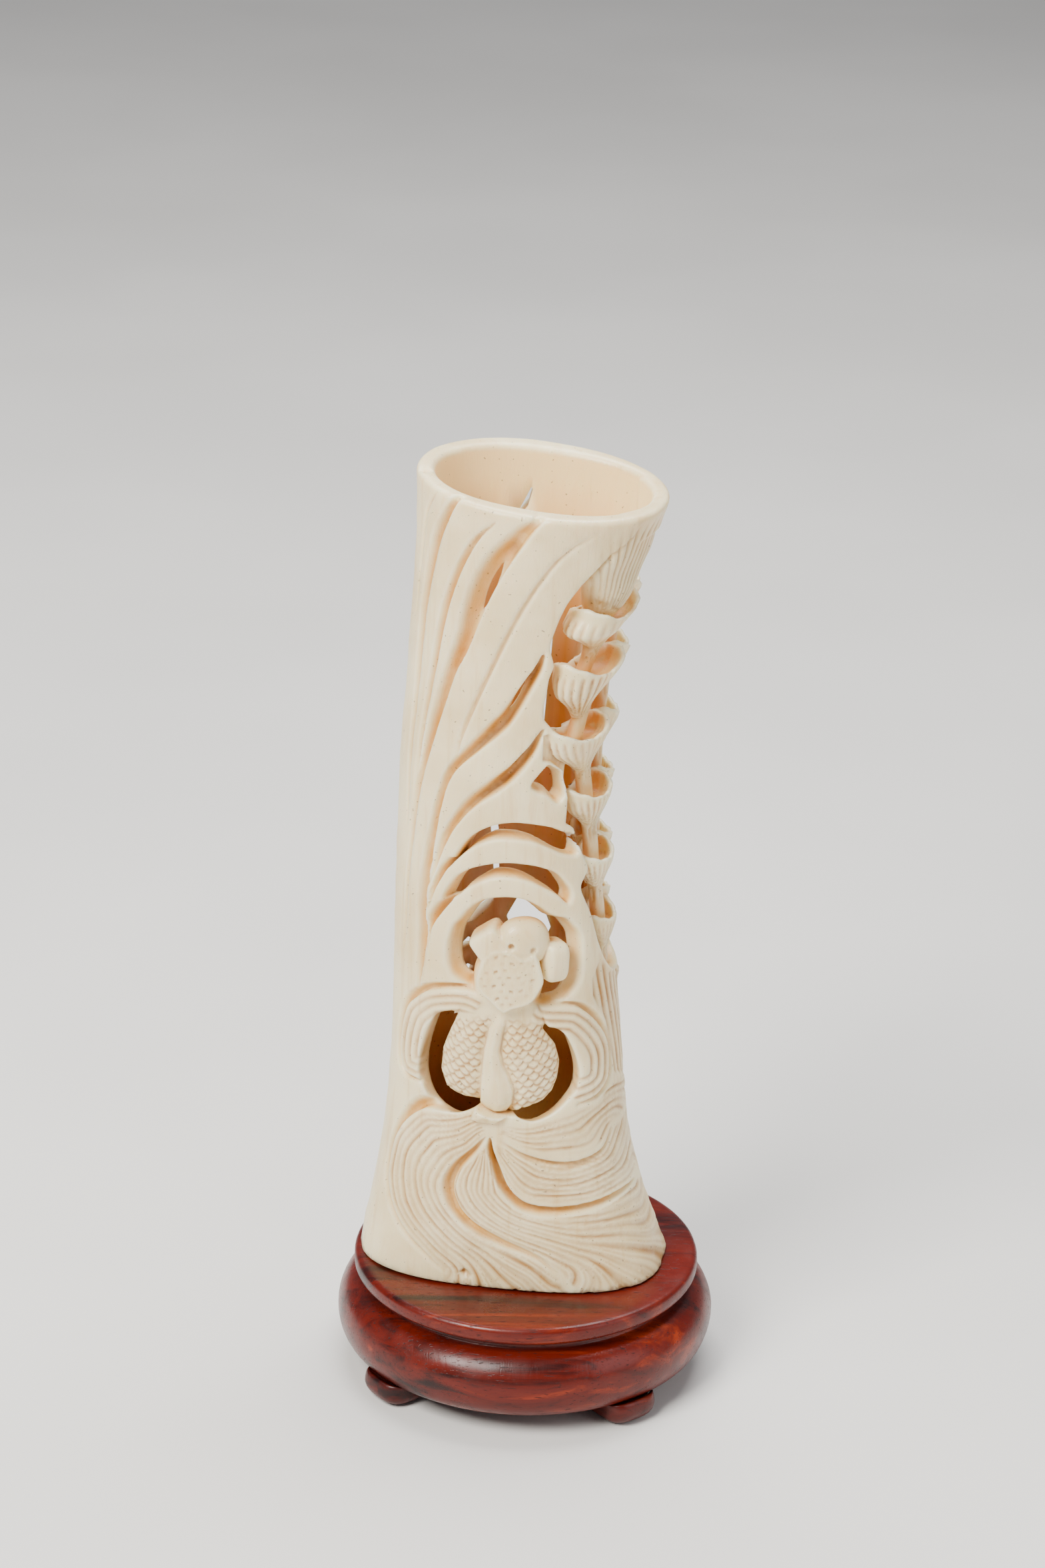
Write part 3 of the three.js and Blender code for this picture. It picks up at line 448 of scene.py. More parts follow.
def fine_lines(corners, low_line, high_line, count, amount):
    """Fine parallel lines that fan out between two lines, inside an outline."""
    spot, bb, zz = patch(np.asarray(corners, float), 1)
    inside = ease(0.1, -0.7, within(corners, bb, zz))
    a = np.abs(along(spline(low_line, LINE_STEPS)[:, :2], bb, zz)[0])
    b = np.abs(along(spline(high_line, LINE_STEPS)[:, :2], bb, zz)[0])
    across = count * a / (a + b + 1e-6)
    across = across + 0.09 * np.sin(0.21 * bb + 0.6 * zz) + 0.06 * np.sin(0.5 * zz - 0.13 * bb)
    uneven = 0.7 + 0.3 * np.sin(np.floor(across + 0.5) * 2.4 + 0.09 * bb)
    wave = (0.5 + 0.5 * np.cos(2 * np.pi * across)) ** 2.2 * uneven
    fine = (0.5 + 0.5 * np.cos(2 * np.pi * across * 3 + np.sin(0.3 * zz))) ** 2
    fine = fine * (1 - wave) * ease(0.75, 1.15, (a + b) / count)
    relief[spot] += inside * (amount * wave + 0.3 * amount * fine)
    scratch[spot] = np.maximum(scratch[spot], inside * np.maximum(0.9 * wave, 0.45 * fine))


for side, knots in GROOVES.values():
    cut_groove(side, knots)

for k in range(BACK_BLADES):
    start = BACK_FIRST + k * BACK_STEP
    drop = BACK_TOP - BACK_LOW
    cut_groove(-1, [
        (start, BACK_TOP, .6, .4),
        (start - BACK_SWEEP * .4, BACK_TOP - drop * .2, BACK_WIDTH, BACK_SLOT if k % 2 else BACK_DEPTH),
        (start - BACK_SWEEP * .75, BACK_TOP - drop * .5, BACK_WIDTH * .7, BACK_DEPTH),
        (start - BACK_SWEEP, BACK_LOW, .5, .3)])

# The web between the lowest leaf and the bells is cut back in slanting faces
WEB = [(19.8, 104.6), (26, 103.8), (34, 102), (37, 98.4), (36.4, 92), (46, 90), (47, 112),
       (33, 110), (18.6, 109.4)]
spot, bb, zz = patch(np.array(WEB, float), 3)
step_back = ease(0.15, -0.15, within(WEB, bb, zz))
relief[spot] = np.maximum(relief[spot], step_back * (0.7 + 2.2 * ease(17, 42, bb)))


def fan_lines(bearing, z):
    """Thin lines that fan up from the point of the top bell."""
    fan = np.degrees(np.arctan2((bearing - 47) * 0.36, z - 127)) / 6.0
    one = np.round(fan)
    return np.clip(1 - np.abs(fan - one) / 0.26, 0, 1) * (0.65 + 0.35 * np.sin(one * 12.9))


# The face above the topmost bell is cut back and carries the same lines, nearly up to the rim
TOP_FACE = [(58, 149.2), (48.8, 145.7), (38.7, 143.3), (33, 140.7), (29.6, 138.6), (36, 134), (60, 130),
            (116, 130), (119, 146), (100, 150.5), (76, 151)]
spot, bb, zz = patch(np.array(TOP_FACE, float), 2)
gap = within(TOP_FACE, bb, zz)
crease = fan_lines(bb, zz)
inside = ease(0.05, -0.12, gap) * ease(148.2, 144.5, zz)
relief[spot] += inside * (0.3 + 0.8 * ease(-2.2, -0.2, gap) + 0.3 * crease)
scratch[spot] = np.maximum(scratch[spot], inside * np.maximum(crease, 0.9 * ease(-0.9, -0.1, gap)))

# The two fins: pads that stand proud, with rays parallel to their outer edge
for name, corners, rays in (("left_fin", LEFT_FIN, (1.5, 3.0, 4.5, 6.0)),
                            ("right_fin", RIGHT_FIN, (1.5, 3.1, 4.7))):
    side, knots = GROOVES[name]
    spot, bb, zz = patch(np.array(corners, float), 2)
    inside = ease(0.25, -0.25, within(corners, bb, zz))
    edge = -side * along(spline(knots, LINE_STEPS)[:, :2], bb, zz)[0]
    relief[spot] -= 0.45 * inside * ease(0, 1.2, edge)
    for e in rays:
        line = np.exp(-((edge - e) / 0.38) ** 2)
        relief[spot] += 0.42 * line * inside
        scratch[spot] = np.maximum(scratch[spot], 0.7 * line * inside)


def scales(x, z, wide, tall):
    """Overlapping fish scales, tips down: how far each point lies down its scale, and the lines round them."""
    slope = np.zeros(x.shape)
    line = np.zeros(x.shape)
    found = np.zeros(x.shape, bool)
    row0 = np.floor(z / tall)
    for step in (2, 1, 0, -1):
        row = row0 + step
        offset = np.where(row % 2 == 0, 0.0, 0.5)
        col = np.round(x / wide - offset) + offset
        d = np.hypot((x - col * wide) / (wide * 0.6), (z - row * tall) / (tall * 1.32))
        line = np.where(found, line, np.maximum(line, np.exp(-((d - 1) / 0.12) ** 2)))
        here = (d < 1) & ~found
        slope = np.where(here, d, slope)
        found |= here
    return slope, line


# The fish's body: two domes that sink towards the crescent openings, and the fin along its back
spot, bb, zz = patch(np.array(BODY, float), 3)
inside = -within(BODY, bb, zz)
across = np.clip(inside / 5.5, 0, 1)
dome = 2.6 - 3.1 * np.sqrt(np.clip(1 - (1 - across) ** 2, 0, 1))
shoulder = ease(49.5, 57, zz)
fin = within(BACK_FIN, bb, zz)
valley = 1.15 * np.exp(-(np.clip(fin, 0, 9) / 1.25) ** 2)
body = (dome + valley) * (1 - shoulder)
keep = ease(-0.1, 0.15, inside)
relief[spot] = relief[spot] * (1 - keep) + (body + relief[spot] * shoulder) * keep
x = np.radians(bb + 5) * 16.5
slope, line = scales(x, zz - 0.03 * x * x + 0.12 * np.sin(x * 2.1), 1.8, 1.22)
scaly = ease(0.5, 1.1, inside) * ease(0.35, 0.8, fin) * ease(55.5, 53.5, zz + 0.2 * np.abs(x))
relief[spot] += scaly * (0.3 * line - 0.26 * (slope - 0.5))
scratch[spot] = np.maximum(scratch[spot], 0.95 * scaly * line)
on_fin = ease(0.35, -0.3, fin) * ease(56, 51, zz)
relief[spot] -= on_fin * (1.05 + 0.75 * ease(0, 2.0, -fin))
ray = np.sin((np.degrees(np.arctan2(x + 1.4, 58 - zz)) + 14) * 0.62)
relief[spot] += on_fin * 0.1 * ray * ease(48, 42, zz)

# The tail's lobes carry fine rays
TAIL = {name: knots for name, (_, knots) in GROOVES.items() if name.startswith("tail")}
ABOVE_TAIL = [(-6, 33, 0, 0), (15, 33.2, 0, 0), (31, 35.4, 0, 0), (43, 36.2, 0, 0),
              (62, 38.6, 0, 0), (88, 37, 0, 0)]
LOBE_OUTER = [(-22, 35), (-31, 34.2), (-54, 33), (-64, 29.6), (-71, 25), (-73, 19), (-69, 14), (-61, 9.6),
              (-49, 5.6), (-39, 2.2), (-39, -1), (30, -1), (25, 3.6), (14, 6.6), (-8, 9), (-24, 11.2),
              (-34, 13.8), (-39.5, 17), (-40, 20.2), (-34, 23.8), (-22, 27.4), (-12, 31)]
LOBE_BASE = [(-12, 29), (-20, 26), (-32, 22.6), (-36, 19.6), (-35, 17), (-31, 15), (-22, 12.6), (-8, 10.2),
             (14, 7.6), (26, 4.6), (34, -1), (100, -1), (96, 14), (76, 17), (61, 16.6), (44, 15.4),
             (28, 14.6), (14, 14.8), (4, 16.2), (-2, 18.8), (-6, 21.6), (-10, 25.4)]
LOBE_MIDDLE = [(-8, 29), (-4, 24.9), (0, 21.8), (6, 19.4), (14, 18), (28, 17.3), (44, 17.7), (61, 18.3),
               (96, 18), (96, 30), (62, 30), (56, 27), (47, 25.7), (35, 25.3), (21, 26.1), (8, 27.5)]
LOBE_RIGHT = [(-6, 31), (8, 28.9), (21, 27.5), (35, 26.8), (47, 27), (56, 28.2), (62, 31), (96, 31), (96, 37),
              (66, 38.4), (60, 38), (53, 36), (43, 35.6), (31, 34.6), (15, 32.8), (0, 32.6)]
fine_lines(LOBE_OUTER, TAIL["tail_upper"], TAIL["tail_middle"], 9, 0.34)
fine_lines(LOBE_BASE, TAIL["tail_middle"], TAIL["tail_slot"], 12, 0.34)
fine_lines(LOBE_MIDDLE, TAIL["tail_slot"], TAIL["tail_lower"], 8, 0.34)
fine_lines(LOBE_RIGHT, TAIL["tail_lower"], ABOVE_TAIL, 7, 0.3)

# The fluted sheath under the bells, on the right-hand flank
SHEATH = [(53, 60.5), (60, 64), (70, 60), (95, 57.5), (108, 60), (112, 40), (100, 33), (84, 37), (67, 40),
          (65.5, 46), (62, 51), (53, 57)]
spot, bb, zz = patch(np.array(SHEATH, float), 3)
inside = ease(0.2, -0.8, within(SHEATH, bb, zz))
flute = (0.5 + 0.5 * np.cos(np.radians(bb + 0.5 * (zz - 50)) * 62)) ** 1.5
relief[spot] += inside * (0.25 + 0.25 * flute)
scratch[spot] = np.maximum(scratch[spot], inside * flute)

for name in OPENINGS:
    cut_opening(name)
for slit in SLITS:
    cut_slit(*slit)

# The unevenness of hand work
for n, (u, v, a) in enumerate(((3, .021, .06), (7, .055, .05), (13, .13, .03), (23, .21, .02))):
    relief += a * np.sin(np.radians(BB) * u + n * 1.7) * np.cos(ZZ * v * 2 * np.pi + n * 2.3)

# The carving as a solid
SHAPE = (STEPS_ROUND, STEPS_UP, len(DEPTHS))


def make_field():
    """Distance to the carved surface at every step of the wall, negative in the bone."""
    du = np.gradient(relief, np.radians(BEARINGS), axis=0) / RR
    dv = np.gradient(relief, axis=1) / RISE
    lean = 1 / np.sqrt(1 + du * du + dv * dv)
    wall = wall_at(BB)
    field = np.empty(SHAPE, np.float32)
    for k, w in enumerate(DEPTHS):
        skin = blend_max((relief - w) * lean, w - wall, 0.6)
        hole = -(opening + narrowing * max(w, 0.0))
        field[:, :, k] = blend_max(skin, hole, 0.5)
    return field


def block(bearing, z, reach_b, reach_z):
    """A box of the field round a place: its index and the points in it."""
    near = (BEARINGS - bearing + 180) % 360 - 180
    ib = np.nonzero(np.abs(near) < reach_b)[0]
    iz = np.nonzero(np.abs(HEIGHTS - z) < reach_z)[0]
    bb, zz, ww = np.meshgrid(BEARINGS[ib], HEIGHTS[iz], DEPTHS, indexing="ij")
    return np.ix_(ib, iz, np.arange(len(DEPTHS))), on_tusk(bb, zz, ww)


def local_axes(bearing):
    a = math.radians(bearing)
    return np.array([[math.cos(a), math.sin(a), 0], [0, 0, 1], [math.sin(a), -math.cos(a), 0]])


def lump(points, bearing, z, depth, across, up, out, square, turn):
    """Distance to a rounded lump; the higher the squareness, the boxier it is."""
    centre = on_tusk(np.float64(bearing), np.float64(z), depth)
    q = (points - centre) @ local_axes(bearing).T
    a = math.radians(turn)
    u = q[..., 0] * math.cos(a) + q[..., 1] * math.sin(a)
    v = q[..., 1] * math.cos(a) - q[..., 0] * math.sin(a)
    size = sum(np.abs(along_axis / half) ** square
               for along_axis, half in ((u, across), (v, up), (q[..., 2], out)))
    return (size ** (1 / square) - 1) * min(across, up, out) * 0.95


def add_head(field, lines):
    """The fish's bubble eyes, snout and nape, with the hood over them."""
    spot, points = block(9, 66, 62, 14)
    head = None
    for place in HEAD.values():
        shape = lump(points, *place)
        head = shape if head is None else blend_min(head, shape, 0.3)
    for b, z in NOSTRILS:
        centre = on_tusk(np.float64(b), np.float64(z), -1.45)
        head = blend_max(head, 0.62 - np.linalg.norm(points - centre, axis=-1), 0.2)
    bb = (BEARINGS[spot[0].ravel()] + 180) % 360 - 180
    bb, zz = np.meshgrid(bb, HEIGHTS[spot[1].ravel()], indexing="ij")
    edge = within(ring_of(HOOD), bb, zz)
    x = np.radians(bb - 3) * 18
    middle = np.hypot(x / 7.2, (zz - 62) / 8)
    tilted = (zz - 0.16 * x + 0.2 * np.sin(x * 1.3)) / 1.35
    row = np.round(tilted)
    along_row = (x + 0.7 * (row % 2) + 0.3 * np.sin(row * 5.1)) / 1.7
    dash = np.abs(along_row % 1 - 0.5)
    uneven = 0.55 + 0.45 * np.sin(np.floor(along_row) * 7.7 + row * 3.1)
    dent = ease(0.3, 0.12, dash) * ease(0.3, 0.08, np.abs(tilted - row)) * ease(-0.5, -1.3, edge) * uneven
    rise = HOOD_RISE * (1 - 0.38 * middle ** 2) + 0.3 * np.exp(-((edge + 0.45) / 0.4) ** 2) - 0.4 * dent
    w = DEPTHS[None, None, :]
    hood = blend_max(edge[..., None] * 0.9, -rise[..., None] - w, 0.5)
    hood = np.maximum(hood, w - 3.2)
    head = blend_min(head, hood, 0.12)
    field[spot] = blend_min(field[spot], head, 0.5)
    lines[spot] = np.maximum(lines[spot], 0.55 * dent[..., None] * (w < 0))


BELL_SIDE = spline(BELL_SHAPE, 90).T
BELL_BULGE = spline(BELL_FLARE, LINE_STEPS).T


def flute_lines(turn, amount, start):
    """V-shaped flutes round a bell, no two quite alike."""
    at = turn * BELL_FLUTES / (2 * np.pi) + start
    one = np.round(at)
    return np.clip(1 - np.abs(at - one) / 0.34, 0, 1) * amount * (0.7 + 0.3 * np.sin(one * 12.99 + start * 7))


def add_bell(field, lines, plain, mouth, below, start, flare, length):
    """One hollow bell, from its wavy lip down its neck into the bell below."""
    b, z, w, across, out = mouth
    top = on_tusk(np.float64(b), np.float64(z), w)
    low = on_tusk(np.float64(below[0]), np.float64(below[1] - BELL_DROP), below[2])
    spot, points = block(b - 8, (top[2] + low[2]) / 2, 48, (top[2] - low[2]) / 2 + 2.4)
    drop = top[2] - points[..., 2]
    u = np.clip(1 - drop / (top[2] - low[2]), 0, 1.15)
    local = (points - low - (top - low) * u[..., None]) @ local_axes(b).T
    x, y = local[..., 0] / across, local[..., 2] / out
    reach = np.hypot(x, y)
    turn = np.arctan2(x, y)
    half = min(across, out)
    share = np.maximum(np.interp(drop, *BELL_SIDE), BELL_NECK / across)
    share = share + flare * np.interp(drop / length, *BELL_BULGE) * np.clip(-np.sin(turn), 0, 1) ** 1.3
    flutes = flute_lines(turn, ease(0.4, 1.8, drop) * ease(12, 8.5, drop), start)
    outside = (reach - share) * half * 0.92 + 0.5 * flutes
    lip = -BELL_LOBE * np.cos(2 * turn) + 0.28 * np.sin(3 * turn + start) + 0.12 * np.sin(11 * turn)
    bell = blend_max(outside, -drop - lip, 0.3)
    hollow = blend_max((reach - share) * half + BELL_WALL, drop - BELL_CUP * (1 - 0.45 * reach * reach), 0.8)
    bell = blend_max(bell, -hollow, 0.3)
    bell = np.maximum(bell, low[2] - points[..., 2])
    face = (np.abs(outside) < 0.62) * ease(-1.2, 0.2, drop + lip)
    lines[spot] = np.maximum(lines[spot], flutes * face)
    plain[spot] = np.maximum(plain[spot], face * ease(12, 6, drop))
    field[spot] = blend_min(field[spot], bell, 0.3)


def add_top_bell(field, lines, plain):
    """The half-sunk bell at the top, which grows out of the wall."""
    rows = spline(TOP_BELL, LINE_STEPS)[::-1]
    middles = on_tusk(rows[:, 0], rows[:, 1], rows[:, 2])
    spot, points = block(68, 139, 62, 14)
    z = points[..., 2]
    columns = (middles[:, 0], middles[:, 1], rows[:, 0], rows[:, 3], rows[:, 4])
    mx, my, b, across, out = [np.interp(z, middles[:, 2], c) for c in columns]
    a = np.radians(b)
    dx, dy = points[..., 0] - mx, points[..., 1] - my
    x, y = (dx * np.cos(a) + dy * np.sin(a)) / across, (dx * np.sin(a) - dy * np.cos(a)) / out
    bb = np.broadcast_to(BEARINGS[spot[0].ravel()][:, None], z.shape[:2])
    flutes = fan_lines(bb[..., None], z) * ease(128.5, 132, z) * ease(148.2, 144.5, z)
    outside = (np.hypot(x, y) - 1) * np.minimum(across, out) * 0.75 + 0.3 * flutes
    bell = np.maximum(outside, middles[0, 2] - z)
    far_in = wall_at(bb) + 0.5 + 5.5 * ease(143, 138, HEIGHTS[spot[1].ravel()])[None, :]
    bell = blend_max(bell, DEPTHS[None, None, :] - far_in[..., None], 0.5)
    face = (np.abs(outside) < 0.62) & (DEPTHS[None, None, :] < 1.6 + 6 * ease(143, 138, z))
    lines[spot] = np.maximum(lines[spot], flutes * face)
    plain[spot] = np.maximum(plain[spot], face * ease(129, 134, z))
    field[spot] = blend_min(field[spot], bell, 0.3)


def trim_ends(field):
    """The sawn rim, a little out of level, the foot, and the small chips in both."""
    for b, z, w, size in CHIPS:
        spot, points = block(b, z, 12, 3)
        bite = np.abs(points - on_tusk(np.float64(b), np.float64(z), w)).sum(-1) * 0.7 - size
        field[spot] = blend_max(field[spot], -bite, 0.15)
    for k, w in enumerate(DEPTHS):
        over = above_rim(BB, ZZ, RR - w) + 0.04 * np.sin(np.radians(BB) * 5)
        field[:, :, k] = np.maximum(blend_max(field[:, :, k], over, 1.3), -ZZ)
    for end in (0, -1):
        field[:, :, end] = np.maximum(field[:, :, end], 0.1)
        field[:, end, :] = np.maximum(field[:, end, :], 0.1)


def skin_of(field):
    """The surface where the field is nought, as points in steps and four-cornered faces."""
    nb, nz, nw = field.shape
    wrapped = np.concatenate([field, field[:1]], 0)
    solid = wrapped < 0
    count = np.zeros((nb, nz - 1, nw - 1), np.uint8)
    corners = [(i, j, k) for i in (0, 1) for j in (0, 1) for k in (0, 1)]
    for i, j, k in corners:
        count += solid[i:i + nb, j:j + nz - 1, k:k + nw - 1]
    cells = np.argwhere((count > 0) & (count < 8))
    number = np.full(count.shape, -1, np.int32)
    number[tuple(cells.T)] = np.arange(len(cells))
    total = np.zeros((len(cells), 3))
    hits = np.zeros(len(cells))
    value = [wrapped[cells[:, 0] + i, cells[:, 1] + j, cells[:, 2] + k] for i, j, k in corners]
    for a in range(8):
        for b in range(a + 1, 8):
            ca, cb = np.array(corners[a]), np.array(corners[b])
            if np.abs(ca - cb).sum() != 1:
                continue
            va, vb = value[a], value[b]
            crossed = (va < 0) != (vb < 0)
            t = np.where(crossed, va / np.where(crossed, va - vb, 1), 0)
            total += np.where(crossed[:, None], ca + t[:, None] * (cb - ca), 0)
            hits += crossed
    points = cells + total / hits[:, None]
    faces = []
    for axis in range(3):
        here = solid[:nb]
        flip = here != np.roll(here, -1, axis)
        if axis == 1:
            flip[:, -1, :] = False
        if axis == 2:
            flip[:, :, -1] = False
        e = np.argwhere(flip)
        one, two = [x for x in range(3) if x != axis]
        quad = []
        for s, t in ((0, 0), (1, 0), (1, 1), (0, 1)):
            c = e.copy()
            c[:, one] -= s
            c[:, two] -= t
            c[:, 0] %= nb
            good = (c[:, 1] >= 0) & (c[:, 1] < nz - 1) & (c[:, 2] >= 0) & (c[:, 2] < nw - 1)
            c[~good] = 0
            quad.append(np.where(good, number[tuple(c.T)], -1))
        quad = np.stack(quad, 1)
        leaving = here[tuple(e.T)]
        turn = leaving if axis != 1 else ~leaving
        quad[~turn] = quad[~turn][:, ::-1]
        faces.append(quad[(quad >= 0).all(1)])
    return points, np.concatenate(faces)


def in_scene(name, data):
    """A new object that carries the given mesh, lamp or camera."""
    made = bpy.data.objects.new(name, data)
    bpy.context.scene.collection.objects.link(made)
    return made


def mesh_object(name, points, faces):
    mesh = bpy.data.meshes.new(name)
    mesh.vertices.add(len(points))
    mesh.vertices.foreach_set("co", np.asarray(points, np.float32).ravel())
    n = faces.shape[1]
    mesh.loops.add(faces.size)
    mesh.loops.foreach_set("vertex_index", np.asarray(faces, np.int32).ravel())
    mesh.polygons.add(len(faces))
    mesh.polygons.foreach_set("loop_start", np.arange(0, faces.size, n, dtype=np.int32))
    mesh.polygons.foreach_set("loop_total", np.full(len(faces), n, np.int32))
    mesh.update(calc_edges=True)
    return in_scene(name, mesh)


def applied(piece):
    """The piece with its modifiers made real."""
    graph = bpy.context.evaluated_depsgraph_get()
    mesh = bpy.data.meshes.new_from_object(piece.evaluated_get(graph))
    old = piece.data
    piece.modifiers.clear()
    piece.data = mesh
    bpy.data.meshes.remove(old)
    return piece


def step_of(bearing):
    return np.interp((bearing - FINE_FROM) % 360 + FINE_FROM, ONCE_ROUND, np.arange(STEPS_ROUND + 1))


def sample(chart, bearing, z):
    """A value of the unrolled face at each point."""
    u = step_of(bearing)
    i = np.floor(u).astype(int)
    fu = u - i
    i0, i1 = i % STEPS_ROUND, (i + 1) % STEPS_ROUND
    v = np.clip((z - HEIGHTS[0]) / RISE, 0, STEPS_UP - 1.001)
    j = v.astype(int)
    fv = v - j
    low = chart[i0, j] * (1 - fu) + chart[i1, j] * fu
    high = chart[i0, j + 1] * (1 - fu) + chart[i1, j + 1] * fu
    return low * (1 - fv) + high * fv


def paint(piece, name, values):
    layer = piece.data.attributes.new(name, "FLOAT", "POINT")
    layer.data.foreach_set("value", np.asarray(values, np.float32))


def solid_share(field, reach):
    """How much of the neighbourhood of each step is bone: above a half in recesses, below on edges."""
    share = np.clip(0.5 - field / 0.5, 0, 1)
    across = math.radians(FINE_STEP) * 18
    for axis, step in enumerate((across, RISE, STEP_DEEP)):
        n = max(1, int(round(reach / step)))
        if axis == 0:
            padded = np.concatenate([share[-n - 1:], share, share[:n]], 0)
        else:
            edge = [(0, 0)] * 3
            edge[axis] = (n + 1, n)
            padded = np.pad(share, edge, mode="edge")
        total = np.cumsum(padded, axis, dtype=np.float32)
        size = share.shape[axis]
        high = np.take(total, np.arange(2 * n + 1, 2 * n + 1 + size), axis)
        low = np.take(total, np.arange(0, size), axis)
        share = (high - low) / (2 * n + 1)
    return share


def sample_block(values, steps):
    """Values of a block of steps at points in between them."""
    i = np.floor(steps[:, 0]).astype(int)
    j = np.clip(np.floor(steps[:, 1]).astype(int), 0, values.shape[1] - 2)
    k = np.clip(np.floor(steps[:, 2]).astype(int), 0, values.shape[2] - 2)
    fu, fv, fw = steps[:, 0] - i, steps[:, 1] - j, steps[:, 2] - k
    out = 0
    for a, wa in ((0, 1 - fu), (1, fu)):
        for b, wb in ((0, 1 - fv), (1, fv)):
            for c, wc in ((0, 1 - fw), (1, fw)):
                out = out + wa * wb * wc * values[(i + a) % STEPS_ROUND, j + b, k + c]
    return out


# Stretches with the finest work, [bearing from, to, height from, to], and how unevenly faces are spared
FINEST = [(-48, 36, 33, 72), (28, 128, 55, 150), (-76, 96, 3, 38)]
THINNING = 25.0


def carve_tusk():
    """The whole carving as one closed mesh."""
    field = make_field()
    lines = np.zeros(SHAPE, np.float32)
    plain = np.zeros(SHAPE, np.float32)
    add_head(field, lines)
    add_top_bell(field, lines, plain)
    for column, flares in ((REAR_BELLS, ()), (FRONT_BELLS, LEFT_FLARES)):
        for k, mouth in enumerate(column):
            below = column[k + 1] if k + 1 < len(column) else [m + d for m, d in zip(mouth, LAST_NECK)]
            if flares and k < len(FRONT_LEANS):
                below = [below[0] + FRONT_LEANS[k][0], below[1], below[2] + FRONT_LEANS[k][1]]
            flare = flares[k] if k < len(flares) else (0, 1)
            add_bell(field, lines, plain, mouth, below, 0.37 * k, *flare)
    trim_ends(field)
    steps, faces = skin_of(field)
    bearing = np.interp(steps[:, 0], np.arange(STEPS_ROUND + 1), ONCE_ROUND)
    z = HEIGHTS[0] + steps[:, 1] * RISE
    depth = DEPTHS[0] + steps[:, 2] * STEP_DEEP
    points = on_tusk(bearing, z, depth) + np.array([0, 0, TUSK_FOOT])
    piece = mesh_object("openwork_tusk", points, faces)
    thin_out(piece)
    keep_one_body(piece)
    marks(piece, field, lines, plain)
    piece.data.shade_smooth()
    return piece


def points_of(piece):
    co = np.empty(len(piece.data.vertices) * 3, np.float32)
    piece.data.vertices.foreach_get("co", co)
    return co.reshape(-1, 3)


def places_of(piece):
    """Bearing, height and depth of each of its points."""
    co = points_of(piece) - np.array([0, 0, TUSK_FOOT])
    x, y = co[:, 0] - section(co[:, 2])[0], co[:, 1]
    bearing = np.degrees(np.arctan2(x, -y))
    return bearing, co[:, 2], radius_at(bearing, co[:, 2]) - np.hypot(x, y)


def thin_out(piece):
    """Fewer faces, but most of them kept where the carving is fine."""
    bearing, z, depth = places_of(piece)
    worked = ease(-88, -76, bearing) * ease(132, 122, bearing) * ease(4.5, 3.2, depth)
    finest = np.zeros(len(bearing))
    for b0, b1, z0, z1 in FINEST:
        inside = np.minimum(np.minimum(bearing - b0, b1 - bearing) * 0.3, np.minimum(z - z0, z1 - z))
        finest = np.maximum(finest, ease(-1, 1, inside))
    rim = ease(146, 148, z)
    plainness = np.clip(1 - np.maximum(0.86 * worked + 0.12 * worked * finest, 0.9 * rim), 0.02, 1)
    group = piece.vertex_groups.new(name="plainness")
    for level in range(1, 51):
        some = np.nonzero(np.round(plainness * 50).astype(int) == level)[0]
        if len(some):
            group.add(some.tolist(), level / 50, "REPLACE")
    thin = piece.modifiers.new("thin", "DECIMATE")
    thin.vertex_group = "plainness"
    thin.vertex_group_factor = THINNING
    thin.ratio = min(1.0, FACE_LIMIT / (2 * len(piece.data.polygons)))
    applied(piece)
    piece.vertex_groups.clear()


def keep_one_body(piece):
    """Drops any crumb that isn't joined to the carving."""
    shape = bmesh.new()
    shape.from_mesh(piece.data)
    seen = set()
    bodies = []
    for start in shape.verts:
        if start.index in seen:
            continue
        seen.add(start.index)
        body, edge = [start], [start]
        while edge:
            v = edge.pop()
            for e in v.link_edges:
                o = e.other_vert(v)
                if o.index not in seen:
                    seen.add(o.index)
                    body.append(o)
                    edge.append(o)
        bodies.append(body)
    bodies.sort(key=len)
    for body in bodies[:-1]:
        bmesh.ops.delete(shape, geom=body, context="VERTS")
    shape.to_mesh(piece.data)
    shape.free()


def marks(piece, field, lines, plain):
    """Marks on each point where stain gathers, where it is rubbed and where lines run, and the inner wall, where a
    glow and warm shade are painted, for the finish.
    """
    bearing, z, depth = places_of(piece)
    steps = np.stack([step_of(bearing), (z - HEIGHTS[0]) / RISE,
                      (depth - DEPTHS[0]) / STEP_DEEP], 1)
    near = sample_block(solid_share(field, 0.6), steps)
    wide = sample_block(solid_share(field, 2.0), steps)
    proud = sample_block(plain, steps)
    sawn = ease(-1.6, -0.5, above_rim(bearing, z, radius_at(bearing, z) - depth))
    # The inner wall, where the finish paints a glow: a brighter cream standing in for light that comes through the
    # thin bone
    inner_glow_wall = ease(-0.7, 0.1, depth - wall_at(bearing)) * (1 - proud) * (1 - sawn)
    soak = (1 - sawn) * ease(0.2, 1.6, depth) * (0.62 + 0.38 * ease(0.36, 0.6, wide)) * (1 - 0.85 * proud)
    drawn = sample(scratch, bearing, z) * ease(2.6, 1.3, depth)
    line = np.maximum(drawn, np.clip(sample_block(lines, steps), 0, 1))
    paint(piece, "recess", np.clip((near - 0.5) * 3.4, 0, 1))
    paint(piece, "edge", np.clip((0.5 - near) * 3.2, 0, 1))
    paint(piece, "soak", soak * (1 - inner_glow_wall))
    paint(piece, "deep", ease(0.46, 0.7, wide) * ease(1.4, 3.2, depth) * (1 - 0.8 * proud))
    # The inner wall's mark, where the finish paints a glow of light coming through the thin bone
    paint(piece, "inside", inner_glow_wall)
    # Painted shade: the inner wall grows a deeper orange further below the rim
    paint(piece, "painted_inner_shade", inner_glow_wall * ease(146, 128, z))
    paint(piece, "lines", line)
    piece.data.vertices.foreach_set("co", (points_of(piece) * MM).ravel())
    piece.data.update()


